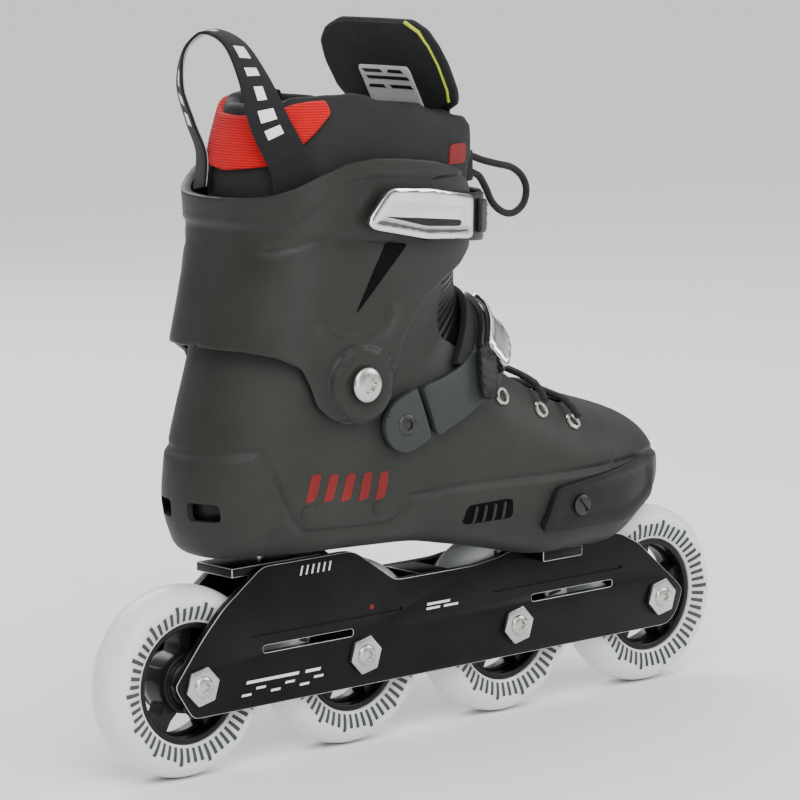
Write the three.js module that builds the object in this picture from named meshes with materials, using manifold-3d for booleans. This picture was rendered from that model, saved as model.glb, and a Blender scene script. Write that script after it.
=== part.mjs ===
// Inline skate for the right foot: a hard boot with a hinged cuff on a frame with four wheels.
// Millimetres. +X points to the toe, +Y to the inner (left) side, +Z up.
// The origin is on the ground, midway between the first and last axle, in the wheels' plane.
import * as THREE from 'three';
import { mergeVertices } from 'three/addons/utils/BufferGeometryUtils.js';
import Module from 'manifold-3d';

const wasm = await Module();
wasm.setup();

// ---- Driving dimensions -------------------------------------------------------------------

const GAP = 0.3; // between pieces that rest on each other

const WHEEL_COUNT = 4;
const WHEEL_RADIUS = 45;
const WHEEL_PITCH = 97; // axle to axle
const TYRE_WIDTH = 24;
const TREAD_WIDTH = 8; // flat band that meets the ground
const TYRE_SHOULDER_DROP = 9; // how far below the tread the tyre reaches its full width
const TYRE_INNER_WIDTH = 19;
const CORE_RADIUS = 28.5;
const CORE_RING = 3;
const SPOKE_COUNT = 5;
const SPOKE_WIDTH = 6;
const WEB_WIDTH = 11;
const HUB_WALL = 3;

const BEARING_RADIUS = 11;
const BEARING_WIDTH = 7;
const BEARING_SPACING = 10;
const AXLE_RADIUS = 4;
const AXLE_CLEARANCE = 0.25;
const HEX_ACROSS_FLATS = 16.7;
const HEX_HEIGHT = 2.6;
const SPACER_WALL = 1.6;

const FRAME_WALL = 4;
const WHEEL_SIDE_ROOM = 1; // tyre to frame wall
const DECK = 4.5; // thickness of the frame's cross decks
const FRAME_SLOT = 3.4; // height of the long slots
const GROOVE_DEPTH = 0.7;
const GROOVE_HEIGHT = 1.6;
const BALL_BOLT_Y = 22;
const LUG_REACH = 11; // how far each ball lug stands out of the frame's wall
const BOLT_RADIUS = 3;
const BOLT_HEAD_RADIUS = 6;
const BOLT_HEAD_HEIGHT = 3;
const BOLT_CLEARANCE = 0.4;

const SHELL_WALL = 3.5;
const LINER_WALL = 5;
const INSOLE_THICKNESS = 4;
const BOOT_WIDTH = 101; // at the ball of the foot
const CUFF_SPREAD = 2; // how much wider the cuff's rim is than the ball of the foot
const CUFF_WIDTH = BOOT_WIDTH + CUFF_SPREAD;
const CUFF_WALL = 3;
const COLLAR_WALL = 11;
const SLIDER_HEIGHT = 4.5; // how far the toe sliders stand proud
const HINGE_RADIUS = 17.5; // raised ring round the cuff's hinge bolt
const HINGE_BOLT_RADIUS = 8.2;
const HINGE_SHANK_RADIUS = 4;
const STRAP_THICKNESS = 3;
const BUCKLE_BASE_THICKNESS = 3.2;
const LEVER_THICKNESS = 2.4;
const SCREW_RADIUS = 5;
const SCREW_PROUD = 0.9; // above the piece it holds
const SCREW_SUNK = 2.7;
const LACE_RADIUS = 1.75;
const LOOP_CORD_RADIUS = 1.75;
const WEBBING_THICKNESS = 2;
const WEBBING_WIDTH = 19;

// Heights below are above the ground on the standard wheel; another wheel lifts the chassis.
const AXLE_HEIGHT = 45;
const HINGE_X = -72.6;
const HINGE_Z = 180;
const HEEL_DECK_TOP = 96;
const BALL_DECK_TOP = 81.7;
const HEEL_FLOOR = 111; // inside of the shell under the heel
const BALL_FLOOR = 97.5;

// ---- Materials ----------------------------------------------------------------------------

function paint(color, roughness, metalness = 0) {
  return new THREE.MeshStandardMaterial({ color, roughness, metalness });
}
const SHELL_PLASTIC = paint(0x464743, 0.6);
const ARM_PLASTIC = paint(0x4b5150, 0.6);
const BLACK_PLASTIC = paint(0x151516, 0.45);
const CHROME = paint(0xd4d6d8, 0.12, 1);
const STEEL = paint(0xb9b8b4, 0.3, 1);
const ANODISED = paint(0x101011, 0.38, 0.6);
const URETHANE = paint(0xe9eaea, 0.35);
const LINER_CLOTH = paint(0x1b1b1d, 0.8);
const WEBBING = paint(0x121214, 0.85);

// ---- Solids -------------------------------------------------------------------------------

// A closed three.js geometry as a solid that can be cut and joined.
function solid(geometry) {
  const bare = geometry.clone();
  bare.deleteAttribute('normal');
  bare.deleteAttribute('uv');
  const merged = mergeVertices(bare, 1e-4);
  const mesh = new wasm.Mesh({
    numProp: 3,
    vertProperties: new Float32Array(merged.attributes.position.array),
    triVerts: new Uint32Array(merged.index.array),
  });
  return new wasm.Manifold(mesh);
}

function geometryOf(body) {
  const mesh = body.getMesh();
  const geometry = new THREE.BufferGeometry();
  geometry.setAttribute('position', new THREE.BufferAttribute(mesh.vertProperties, 3));
  geometry.setIndex(new THREE.BufferAttribute(mesh.triVerts, 1));
  return geometry;
}

function box(x0, x1, y0, y1, z0, z1) {
  const geometry = new THREE.BoxGeometry(x1 - x0, y1 - y0, z1 - z0);
  geometry.translate((x0 + x1) / 2, (y0 + y1) / 2, (z0 + z1) / 2);
  return solid(geometry);
}

// An outline of [x, z] points, run from y0 to y1.
function plate(outline, y0, y1) {
  const shape = new THREE.Shape(outline.map(([x, z]) => new THREE.Vector2(x, z)));
  const geometry = new THREE.ExtrudeGeometry(shape, { depth: y1 - y0, bevelEnabled: false });
  geometry.rotateX(Math.PI / 2);
  geometry.translate(0, y1, 0);
  return solid(geometry);
}

// An outline of [x, y] points, run from z0 to z1.
function slab(outline, z0, z1) {
  const shape = new THREE.Shape(outline.map(([x, y]) => new THREE.Vector2(x, y)));
  const geometry = new THREE.ExtrudeGeometry(shape, { depth: z1 - z0, bevelEnabled: false });
  geometry.translate(0, 0, z0);
  return solid(geometry);
}

// A profile of [radius, y] points turned about the Y axis, with a flat facing straight down.
// Radii are to the flats, so that a round piece keeps its size where it rests.
function turned(profile, segments) {
  const toFlats = 1 / Math.cos(Math.PI / segments);
  const closed = profile[0][0] > 0 ? [...profile, profile[0]] : profile;
  const points = closed.map(([r, y]) => new THREE.Vector2(r * toFlats, y));
  const geometry = new THREE.LatheGeometry(points, segments, Math.PI / segments);
  return outward(geometry);
}

function signedVolume(geometry) {
  const flat = geometry.index ? geometry.toNonIndexed() : geometry;
  const p = flat.attributes.position;
  const [a, b, c] = [new THREE.Vector3(), new THREE.Vector3(), new THREE.Vector3()];
  let volume = 0;
  for (let i = 0; i < p.count; i += 3) {
    a.fromBufferAttribute(p, i);
    b.fromBufferAttribute(p, i + 1);
    c.fromBufferAttribute(p, i + 2);
    volume += a.dot(b.cross(c)) / 6;
  }
  return volume;
}

// The solid of a closed geometry, turned right side out.
function outward(geometry) {
  if (signedVolume(geometry) < 0) {
    const index = geometry.index.array;
    for (let i = 0; i < index.length; i += 3) {
      [index[i], index[i + 1]] = [index[i + 1], index[i]];
    }
  }
  return solid(geometry);
}

function pin(radius, y0, y1, x, z, segments = 16) {
  return turned([[0, y0], [radius, y0], [radius, y1], [0, y1]], segments).translate([x, 0, z]);
}

function upright(radius, z0, z1, x, y, segments = 12) {
  return turned([[0, z0], [radius, z0], [radius, z1], [0, z1]], segments)
    .rotate([90, 0, 0])
    .translate([x, y, 0]);
}

// The span of y between two distances from the middle, on one side.
function spanY(side, near, far) {
  return side > 0 ? [near, far] : [-far, -near];
}

// A skin through rings of points, closed at both ends.
function loft(rings) {
  const count = rings[0].length;
  const points = rings.flat();
  for (const end of [rings[0], rings.at(-1)]) {
    const centre = new THREE.Vector3();
    end.forEach((point) => centre.add(point));
    points.push(centre.divideScalar(count));
  }
  const lastRing = (rings.length - 1) * count;
  const firstCentre = rings.length * count;
  const index = [];
  for (let i = 0; i < count; i += 1) {
    const j = (i + 1) % count;
    for (let ring = 0; ring < lastRing; ring += count) {
      index.push(ring + i, ring + j, ring + count + i);
      index.push(ring + j, ring + count + j, ring + count + i);
    }
    index.push(firstCentre, j, i);
    index.push(firstCentre + 1, lastRing + i, lastRing + j);
  }
  const geometry = new THREE.BufferGeometry();
  const flat = points.flatMap((point) => [point.x, point.y, point.z]);
  geometry.setAttribute('position', new THREE.Float32BufferAttribute(flat, 3));
  geometry.setIndex(index);
  return outward(geometry);
}

function mesh(name, body, material) {
  const result = new THREE.Mesh(geometryOf(body), material);
  result.name = name;
  return result;
}

function lerpTable(table, at) {
  const last = table.length - 1;
  if (at <= table[0][0]) return table[0][1];
  if (at >= table[last][0]) return table[last][1];
  const k = table.findIndex(([key]) => key > at);
  const [k0, v0] = table[k - 1];
  const [k1, v1] = table[k];
  return v0 + ((v1 - v0) * (at - k0)) / (k1 - k0);
}

// ---- Boot surface -------------------------------------------------------------------------

// Each section of the boot runs from a point on the instep or shin to one on the sole, heel or
// calf, both [x, z]; then its half width, and how square it is at each end (2 is an ellipse).
const BOOT_SECTIONS = [
  [[145.5, 119], [147, 106], 9, 2, 2],
  [[144, 125.5], [146, 101.5], 17, 2, 2.2],
  [[140.5, 131.5], [141.5, 98], 25, 2, 2.4],
  [[134.5, 137.5], [133.5, 95.5], 32.5, 2, 2.8],
  [[125, 142.5], [122, 92], 39.5, 2, 3],
  [[111, 147.5], [108, 86], 45, 2.1, 3.5],
  [[95.5, 152.2], [92, 82], 49, 2.1, 4],
  [[78, 157.5], [72, 82], 50.5, 2.1, 4],
  [[62, 164.3], [50, 82], 50, 2.1, 4],
  [[48, 174], [26, 87.5], 48.5, 2.1, 4],
  [[36, 184], [3, 92.5], 47, 2.1, 4],
  [[27, 193.5], [-24, 97.5], 46, 2.2, 4],
  [[21, 202], [-54, 99], 45.2, 2.2, 4],
  [[17.5, 208.5], [-84, 100], 44.6, 2.2, 4],
  [[15.5, 213], [-110, 100.5], 44.2, 2.2, 3],
  [[14.3, 216], [-131, 102.3], 44, 2.2, 2.6],
  [[13.6, 218], [-138, 111], 44, 2.2, 2.4],
  [[13, 220], [-141.5, 123], 44.2, 2.2, 2.3],
  [[12.6, 221.5], [-141, 138], 44.5, 2.2, 2.2],
  [[12.3, 223], [-138.5, 150], 44.8, 2.2, 2.2],
  [[12, 224.5], [-133.5, 166], 45, 2.2, 2.2],
  [[12, 226], [-128.5, 181], 45, 2.2, 2.2],
  [[12, 227.5], [-125, 193], 45, 2.2, 2.2],
  [[12, 229], [-122.6, 205], 45, 2.2, 2.2],
];
const FIRST_FLOOR_SECTION = 3; // the first section with room inside
const FIRST_HEEL_SECTION = 15; // from here on the outer end is the heel's wall, not the sole
const TOE_TURN_IN = 8; // the toe leans to the inner side
const TOE_TURN_START = 30;
const TOE_TIP_X = 147;
const BOOT_STANDARD_WIDTH = 101;
const RING_POINTS = 24;
const ROOM_POINTS = 20;

function toeShift(x) {
  const along = Math.max(0, (x - TOE_TURN_START) / (TOE_TIP_X - TOE_TURN_START));
  return TOE_TURN_IN * along * along;
}

// One closed ring from end to end of a section, bulging to halfWidth on both sides.
function sectionRing(start, end, halfWidth, squareStart, squareEnd, points = RING_POINTS) {
  const ring = [];
  for (let i = 0; i < points; i += 1) {
    const angle = (2 * Math.PI * i) / points;
    const along = -Math.cos(angle);
    const square = along < 0 ? squareStart : squareEnd;
    const bulge = Math.max(0, 1 - Math.abs(along) ** square) ** (1 / square);
    const u = (1 + along) / 2;
    const x = start[0] + (end[0] - start[0]) * u;
    const z = start[1] + (end[1] - start[1]) * u;
    const side = Math.sign(Math.sin(angle) + 1e-12);
    const y = i === 0 || i * 2 === points ? 0 : side * halfWidth * bulge;
    ring.push(new THREE.Vector3(x, y + toeShift(x), z));
  }
  return ring;
}

function moved(from, towards, distance) {
  const [dx, dz] = [towards[0] - from[0], towards[1] - from[1]];
  const length = Math.hypot(dx, dz);
  return [from[0] + (dx / length) * distance, from[1] + (dz / length) * distance];
}

function floorHeight(x) {
  return lerpTable([[60, BALL_FLOOR], [120, BALL_FLOOR + 2], [140, BALL_FLOOR + 6]], x)
    + lerpTable([[-70, HEEL_FLOOR - BALL_FLOOR], [45, 0]], x);
}

const widthFit = BOOT_WIDTH / BOOT_STANDARD_WIDTH;

// The boot's outer surface, moved out by `out`.
function bootBody(out) {
  return loft(BOOT_SECTIONS.map(([start, end, half, squareStart, squareEnd]) => sectionRing(
    moved(start, end, -out),
    moved(end, start, -out),
    half * widthFit + out,
    squareStart,
    squareEnd,
  )));
}

// The room inside the shell, `inset` within its inner wall, open at the ankle.
function bootRoom(inset, ankleRise) {
  const depth = SHELL_WALL + inset;
  const rings = BOOT_SECTIONS.slice(FIRST_FLOOR_SECTION).map((section, i) => {
    const [start, end, half, squareStart, squareEnd] = section;
    const onFloor = i + FIRST_FLOOR_SECTION < FIRST_HEEL_SECTION;
    const floorPoint = [end[0], floorHeight(end[0]) + inset];
    const roomEnd = onFloor ? floorPoint : moved(end, start, depth);
    if (!onFloor) roomEnd[1] = Math.max(roomEnd[1], floorHeight(end[0]) + inset);
    return sectionRing(
      moved(start, end, depth),
      roomEnd,
      half * widthFit - depth,
      squareStart,
      Math.min(squareEnd, 3),
      ROOM_POINTS,
    );
  }).filter((ring, i, all) => i % 2 === 0 || i === all.length - 1);
  rings[0].forEach((point) => point.setX(point.x - inset));
  const top = rings.at(-1).map((point) => point.clone().setZ(point.z + ankleRise));
  return loft(ankleRise > 0 ? [...rings, top] : rings);
}

// ---- Wheels -------------------------------------------------------------------------------

const WHEEL_SEGMENTS = 16;
const SMALL_SEGMENTS = 12;
const bearingOuterEnd = BEARING_SPACING / 2 + BEARING_WIDTH;

function tyre() {
  const half = TYRE_WIDTH / 2;
  const innerHalf = TYRE_INNER_WIDTH / 2;
  const seat = CORE_RADIUS + GAP;
  const shoulder = WHEEL_RADIUS - TYRE_SHOULDER_DROP;
  const rows = [[seat, innerHalf], [seat + 2, half - 1], [shoulder, half]];
  for (let step = 1; step <= 4; step += 1) {
    const angle = (step / 4) * (Math.PI / 2);
    const y = TREAD_WIDTH / 2 + (half - TREAD_WIDTH / 2) * Math.cos(angle);
    rows.push([shoulder + TYRE_SHOULDER_DROP * Math.sin(angle), y]);
  }
  const mirrored = rows.map(([r, y]) => [r, -y]).reverse();
  return turned([...rows, ...mirrored], WHEEL_SEGMENTS);
}

function wheelCore() {
  const ringIn = CORE_RADIUS - CORE_RING;
  const hub = BEARING_RADIUS + HUB_WALL;
  const seat = BEARING_RADIUS + GAP / 2;
  const [ringHalf, webHalf] = [TYRE_INNER_WIDTH / 2, WEB_WIDTH / 2];
  const seatStop = BEARING_SPACING / 2;
  const side = [
    [CORE_RADIUS, ringHalf], [ringIn, ringHalf], [ringIn, webHalf], [hub, webHalf],
    [hub, bearingOuterEnd], [seat, bearingOuterEnd], [seat, seatStop], [BEARING_RADIUS - 1.5, seatStop],
  ];
  const body = turned([...side, ...side.map(([r, y]) => [r, -y]).reverse()], WHEEL_SEGMENTS);
  const [inner, outer] = [hub + 1, ringIn - 1];
  const sector = (2 * Math.PI) / SPOKE_COUNT;
  let result = body;
  for (let spoke = 0; spoke < SPOKE_COUNT; spoke += 1) {
    const outline = [];
    const middle = spoke * sector + sector / 2 + Math.PI / 2;
    for (const [radius, steps] of [[inner, [-1, 0, 1]], [outer, [1, 0.33, -0.33, -1]]]) {
      const halfAngle = sector / 2 - Math.asin(SPOKE_WIDTH / 2 / radius);
      for (const step of steps) {
        const angle = middle + step * halfAngle;
        outline.push([radius * Math.cos(angle), radius * Math.sin(angle)]);
      }
    }
    result = result.subtract(plate(outline, -TYRE_WIDTH, TYRE_WIDTH));
  }
  return result;
}

function bearing(y0) {
  const inner = AXLE_RADIUS + AXLE_CLEARANCE;
  const outer = BEARING_RADIUS - GAP;
  const [from, to] = [y0 + GAP / 2, y0 + BEARING_WIDTH - GAP / 2];
  return turned([[inner, from], [outer, from], [outer, to], [inner, to]], SMALL_SEGMENTS);
}

function spacer() {
  const inner = AXLE_RADIUS + AXLE_CLEARANCE;
  const half = BEARING_SPACING / 2 - GAP / 2;
  const outer = inner + SPACER_WALL;
  return turned([[inner, -half], [outer, -half], [outer, half], [inner, half]], SMALL_SEGMENTS);
}

const wallInner = TYRE_WIDTH / 2 + WHEEL_SIDE_ROOM;
const wallOuter = wallInner + FRAME_WALL;

function axle() {
  const radius = AXLE_RADIUS - 0.15;
  const shank = turned(
    [[0, -wallOuter - HEX_HEIGHT], [radius, -wallOuter - HEX_HEIGHT], [radius, wallOuter], [0, wallOuter]],
    SMALL_SEGMENTS,
  );
  const headFrom = -wallOuter - GAP;
  const headTo = -wallOuter - HEX_HEIGHT;
  const head = turned(
    [[0, headTo], [HEX_ACROSS_FLATS / 2 - 0.8, headTo], [HEX_ACROSS_FLATS / 2, headTo + 0.7],
      [HEX_ACROSS_FLATS / 2, headFrom], [0, headFrom]],
    6,
  ).rotate([0, 30, 0]);
  return shank.add(head);
}

function axleX(number) {
  return (number - (WHEEL_COUNT - 1) / 2) * WHEEL_PITCH;
}

// ---- Frame --------------------------------------------------------------------------------

const firstAxle = axleX(0);
const lastAxle = axleX(WHEEL_COUNT - 1);
const heelBoltX = (axleX(0) + axleX(1)) / 2;
const ballWheelX = axleX(2);
const BALL_BOLT_X = 70;
const HEEL_DECK_HALF = 26; // half the length of the deck under the heel
const LUG_HALF = 13;
const LUG_HEIGHT = 5.5;
const BOSS_WALL = 2.5; // ring that holds each wheel's inner race off the frame's wall
const MID_DECK_HALF = 9;
const MID_DECK_TOP = 78;
const SLOT_HALF = 27;
const SLOT_RISE = 11.5; // above the axles
const GROOVE_RISE = 18;
const BEYOND = 40; // safely past the frame's sides

function frameOutline() {
  const rear = firstAxle;
  const front = lastAxle;
  return [
    [rear - 4.5, 30], [front + 5.5, 30], [front + 11.5, 35], [front + 16.5, 46], [front + 13.5, 50],
    [front + 5.5, 57], [front - 13.5, 74], [front - 26.5, 81], [front - 32.5, BALL_DECK_TOP],
    [44, BALL_DECK_TOP], [38, 80], [22, MID_DECK_TOP], [-28, MID_DECK_TOP], [-51, 94], [-56, 95.5],
    [rear + 37.5, 95.5], [rear + 14.5, 79], [rear + 3.5, 68], [rear - 2.5, 61], [rear - 11.5, 50],
    [rear - 14.5, 46],
  ];
}

function frame() {
  const outline = frameOutline();
  let body = plate(outline, wallInner, wallOuter).add(plate(outline, -wallOuter, -wallInner));
  const inside = wallInner + 0.5;
  const deck = (x0, x1, top) => box(x0, x1, -inside, inside, top - DECK, top);
  body = body.add(deck(heelBoltX - HEEL_DECK_HALF, heelBoltX + HEEL_DECK_HALF, HEEL_DECK_TOP));
  body = body.add(deck(-MID_DECK_HALF, MID_DECK_HALF, MID_DECK_TOP));
  body = body.add(deck(ballWheelX + 36.5, lastAxle - 33.5, BALL_DECK_TOP));
  const boltHoleRadius = BOLT_RADIUS + BOLT_CLEARANCE;
  for (const side of [1, -1]) {
    const lugSpan = spanY(side, wallOuter - 0.5, wallOuter + LUG_REACH);
    const lugBottom = BALL_DECK_TOP - LUG_HEIGHT;
    body = body.add(box(
      BALL_BOLT_X - LUG_HALF, BALL_BOLT_X + LUG_HALF, ...lugSpan, lugBottom, BALL_DECK_TOP,
    ));
    const bossSpan = spanY(side, bearingOuterEnd + GAP, wallInner + 0.5);
    for (let wheel = 0; wheel < WHEEL_COUNT; wheel += 1) {
      const boss = pin(AXLE_RADIUS + BOSS_WALL, ...bossSpan, axleX(wheel), AXLE_HEIGHT, SMALL_SEGMENTS);
      body = body.add(boss);
    }
    body = body.subtract(upright(boltHoleRadius, 60, 90, BALL_BOLT_X, side * BALL_BOLT_Y));
  }
  const axleHole = AXLE_RADIUS + AXLE_CLEARANCE;
  for (let wheel = 0; wheel < WHEEL_COUNT; wheel += 1) {
    body = body.subtract(pin(axleHole, -BEYOND, BEYOND, axleX(wheel), AXLE_HEIGHT, SMALL_SEGMENTS));
  }
  body = body.subtract(upright(boltHoleRadius, 80, 100, heelBoltX, 0));
  const slotZ = AXLE_HEIGHT + SLOT_RISE;
  for (const middle of [firstAxle + 64, lastAxle - 59.5]) {
    const [x0, x1] = [middle - SLOT_HALF, middle + SLOT_HALF];
    body = body.subtract(box(x0, x1, -BEYOND, BEYOND, slotZ - FRAME_SLOT / 2, slotZ + FRAME_SLOT / 2));
  }
  const grooveZ = AXLE_HEIGHT + GROOVE_RISE;
  for (const side of [1, -1]) {
    const grooveSpan = spanY(side, wallOuter - GROOVE_DEPTH, BEYOND);
    for (const [x0, x1] of [[firstAxle + 30, -24], [34, lastAxle - 26]]) {
      body = body.subtract(box(x0, x1, ...grooveSpan, grooveZ, grooveZ + GROOVE_HEIGHT));
    }
  }
  return body;
}

// A bolt with its head on top: z is the underside of the head.
function mountBolt(x, y, z, length) {
  const head = upright(BOLT_HEAD_RADIUS, z, z + BOLT_HEAD_HEIGHT, x, y);
  return head.add(upright(BOLT_RADIUS, z - length, z + 1, x, y));
}

// ---- Boot shell ---------------------------------------------------------------------------

// Half the outline of the opening over the instep and ankle, as [x, y].
const THROAT = [
  [88, 0], [86, 14], [80, 24], [66, 31], [44, 33], [18, 36], [0, 37], [-14, 36], [-40, 33],
];
const THROAT_FROM = 135;
const THROAT_TO = 260;
const ANKLE_OPENING = 30; // how far the room inside is run on past the shell's top
const HEEL_PAD = [heelBoltX - 15, heelBoltX + 24, -15, 15]; // block that stands on the heel deck
const HEEL_VENT = [[6, 120], [22, 120], [22, 128.5], [6, 128.5]]; // [y, z], on both sides
const HEEL_VENT_REACH = -124;
const CHANNEL_HALF = TYRE_WIDTH / 2 + 2;
const channelTop = AXLE_HEIGHT + WHEEL_RADIUS + 3;

function boltSeatZ(x) {
  return floorHeight(x) - BOLT_HEAD_HEIGHT - 1;
}

function bootShell() {
  const throat = [...THROAT, ...THROAT.slice(1).map(([x, y]) => [x, -y]).reverse()];
  const centred = throat.map(([x, y]) => [x, y * widthFit + toeShift(x)]);
  const pad = box(...HEEL_PAD, HEEL_DECK_TOP + GAP, HEEL_FLOOR - 2);
  let body = bootBody(0).add(pad);
  body = body.subtract(bootRoom(0, ANKLE_OPENING));
  body = body.subtract(slab(centred, THROAT_FROM, THROAT_TO));
  const [channelRear, channelFront] = [ballWheelX - WHEEL_RADIUS, ballWheelX + WHEEL_RADIUS];
  body = body.subtract(box(channelRear, channelFront, -CHANNEL_HALF, CHANNEL_HALF, 60, channelTop));
  for (const side of [1, -1]) {
    const vent = HEEL_VENT.map(([y, z]) => [side * y, z]);
    body = body.subtract(crosswise(vent, HEEL_VENT_REACH - 40, HEEL_VENT_REACH));
    body = body.subtract(boltHole(BALL_BOLT_X, side * BALL_BOLT_Y));
    body = body.subtract(hingeHole(side));
  }
  return body.subtract(boltHole(heelBoltX, 0));
}

function hingeHole(side) {
  return pin(HINGE_SHANK_RADIUS + GAP, ...spanY(side, 30, 80), HINGE_X, HINGE_Z, SMALL_SEGMENTS);
}

function boltHole(x, y) {
  const seat = boltSeatZ(x);
  const hole = upright(BOLT_RADIUS + BOLT_CLEARANCE, 60, seat + 1, x, y);
  return hole.add(upright(BOLT_HEAD_RADIUS + BOLT_CLEARANCE, seat, seat + 30, x, y));
}

// ---- Liner --------------------------------------------------------------------------------

const COLLAR_POINTS = 20;
const LINER_PLAY = 1.5; // shell to liner
const COLLAR_PLAY = 1.2; // cuff to collar

function linerFoot() {
  const outside = bootRoom(LINER_PLAY, 0);
  return outside.subtract(bootRoom(LINER_PLAY + LINER_WALL, ANKLE_OPENING));
}

// The top and bottom edges of the collar, from heel to shin, as [x, z].
const COLLAR_EDGE = [
  [-140, 213.5], [-140, 290], [-110, 303], [-97, 311.5], [-66, 313], [-20, 305], [8, 298],
  [40, 292], [40, 254],
];
// Level rings of the collar: height, back, front, half width.
const COLLAR_RINGS = [
  [205, -115, 21.5, 45.8], [245, -113, 21.5, 46], [262, -112.5, 22, 46.2], [275, -111, 24, 46],
  [292, -106, 24, 45.3], [304, -103, 19, 43], [316, -98, 12, 39],
];
const COLLAR_LEAN_FROM = 4; // from this ring up the wall thins towards its rounded edge
const COLLAR_THINNING = 0.3; // share of the wall lost from one ring to the next
const TONGUE_SLOT_HALF = 29;

function linerCollar() {
  const rings = (inset) => COLLAR_RINGS.map(([z, back, front, half], i) => {
    const lean = inset * (1 - COLLAR_THINNING * Math.max(0, i - COLLAR_LEAN_FROM));
    const [start, end] = [[front - lean, z], [back + lean, z]];
    return sectionRing(start, end, half * widthFit - lean, 2.3, 2.2, COLLAR_POINTS);
  });
  const tube = loft(rings(0)).subtract(loft(rings(COLLAR_WALL)));
  const slot = (x0, z0) => box(x0, 60, -TONGUE_SLOT_HALF, TONGUE_SLOT_HALF, z0, 350);
  return tube.intersect(plate(COLLAR_EDGE, -80, 80)).subtract(slot(0, 150).add(slot(-16, 285)));
}

function insole() {
  const clear = LINER_PLAY + LINER_WALL + GAP;
  const top = clear + INSOLE_THICKNESS;
  const stations = [[-140, HEEL_FLOOR], [-70, HEEL_FLOOR], [45, BALL_FLOOR], [112, BALL_FLOOR + 1.7]];
  const over = stations.map(([x, z]) => [x, z + top]);
  const under = [[112, 60], [-140, 60]];
  return bootRoom(clear, 0).intersect(plate([...over, ...under], -60, 60));
}

const TONGUE_SPINE = [[16.5, 239], [15.5, 262], [8, 288], [-4, 312], [-14, 332], [-17, 341.5]];
const TONGUE_THICKNESS = 7;
const TONGUE_SIDE = [
  [239, 16], [262, 18], [288, 24], [300, 26], [304.5, 39], [310, 42], [322, 43], [331, 41], [337, 36],
  [341.5, 26],
];
const TONGUE_OFF_CENTRE = 1.5; // the tongue sits slightly to the inner side

function tongue() {
  const half = TONGUE_THICKNESS / 2;
  const front = TONGUE_SPINE.map(([x, z]) => [x + half, z]);
  const back = TONGUE_SPINE.map(([x, z]) => [x - half, z]).reverse();
  const near = TONGUE_SIDE.map(([z, y]) => [TONGUE_OFF_CENTRE + y, z]);
  const far = TONGUE_SIDE.map(([z, y]) => [TONGUE_OFF_CENTRE - y, z]).reverse();
  const outline = [...near, ...far];
  return plate([...front, ...back], -60, 60).intersect(crosswise(outline, -40, 40));
}

// An outline of [y, z] points, run from x0 to x1.
function crosswise(outline, x0, x1) {
  const shape = new THREE.Shape(outline.map(([y, z]) => new THREE.Vector2(y, z)));
  const geometry = new THREE.ExtrudeGeometry(shape, { depth: x1 - x0, bevelEnabled: false });
  geometry.rotateX(Math.PI / 2);
  geometry.rotateZ(Math.PI / 2);
  geometry.translate(x0, 0, 0);
  return solid(geometry);
}

// A flat band through stations of [centre, across]: across points along the band's width.
function band(stations, width, thickness) {
  const centres = stations.map(([centre]) => new THREE.Vector3(...centre));
  return loft(stations.map(([, across], i) => {
    const before = centres[Math.max(0, i - 1)];
    const after = centres[Math.min(centres.length - 1, i + 1)];
    const along = after.clone().sub(before).normalize();
    const wide = new THREE.Vector3(...across);
    wide.addScaledVector(along, -wide.dot(along)).normalize();
    const thick = along.clone().cross(wide);
    return [[1, 1], [-1, 1], [-1, -1], [1, -1]].map(([w, t]) => centres[i].clone()
      .addScaledVector(wide, (w * width) / 2)
      .addScaledVector(thick, (t * thickness) / 2));
  }));
}

const PULL_LOOP = [
  [[-109.2, 21.5, 268], [0.4, 0.9, 0]],
  [[-106.5, 23, 284], [0.42, 0.9, 0]],
  [[-110.5, 25.5, 299], [0.45, 0.9, 0]],
  [[-116, 25, 316], [0.5, 0.85, 0]],
  [[-117.5, 18, 333], [0.6, 0.75, 0]],
  [[-112, 9, 340.5], [0.75, 0.6, 0]],
  [[-107.5, -4, 335.5], [0.85, 0.4, 0]],
  [[-106, -16, 320], [0.88, 0.1, 0]],
  [[-105, -26, 300], [0.85, -0.35, 0]],
  [[-99, -32.5, 281], [0.81, -0.55, 0]],
  [[-97.5, -33.5, 266], [0.81, -0.59, 0]],
];

const LACE_LOOP = [
  [21.6, -12, 275.5], [26, -13, 275.8], [34, -14, 273], [42, -15, 270.8], [51, -15, 268.5],
  [57.5, -15, 264], [60.5, -15, 257.5], [58.5, -15, 250.5], [52, -15, 246.5], [45, -15, 247.5],
  [38.5, -15, 252.5],
  [33.5, -16, 260], [28.5, -17, 266], [22.6, -18, 268.5],
];

// A cord along hand-laid points.
function cord(points, radius, steps) {
  const curve = new THREE.CatmullRomCurve3(points);
  const sides = 8;
  const section = new THREE.Shape();
  for (let i = 0; i < sides; i += 1) {
    const angle = (2 * Math.PI * i) / sides;
    const [x, y] = [radius * Math.cos(angle), radius * Math.sin(angle)];
    if (i === 0) section.moveTo(x, y);
    else section.lineTo(x, y);
  }
  const geometry = new THREE.ExtrudeGeometry(section, { steps, extrudePath: curve, bevelEnabled: false });
  return solid(geometry);
}

// ---- Laces --------------------------------------------------------------------------------

const EYELET_RADIUS = 4.4;
const EYELET_HOLE = 2.6;
const EYELET_HEIGHT = 1.2;
const EYELET_LIFT = 0.6; // clears the curve of the shell under the flat ring
// Place along the boot's sections, and share of the way down from the throat's line.
const EYELET_PLACES = [[10.6, 0.28], [8.93, 0.225], [7.64, 0.2]];

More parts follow.
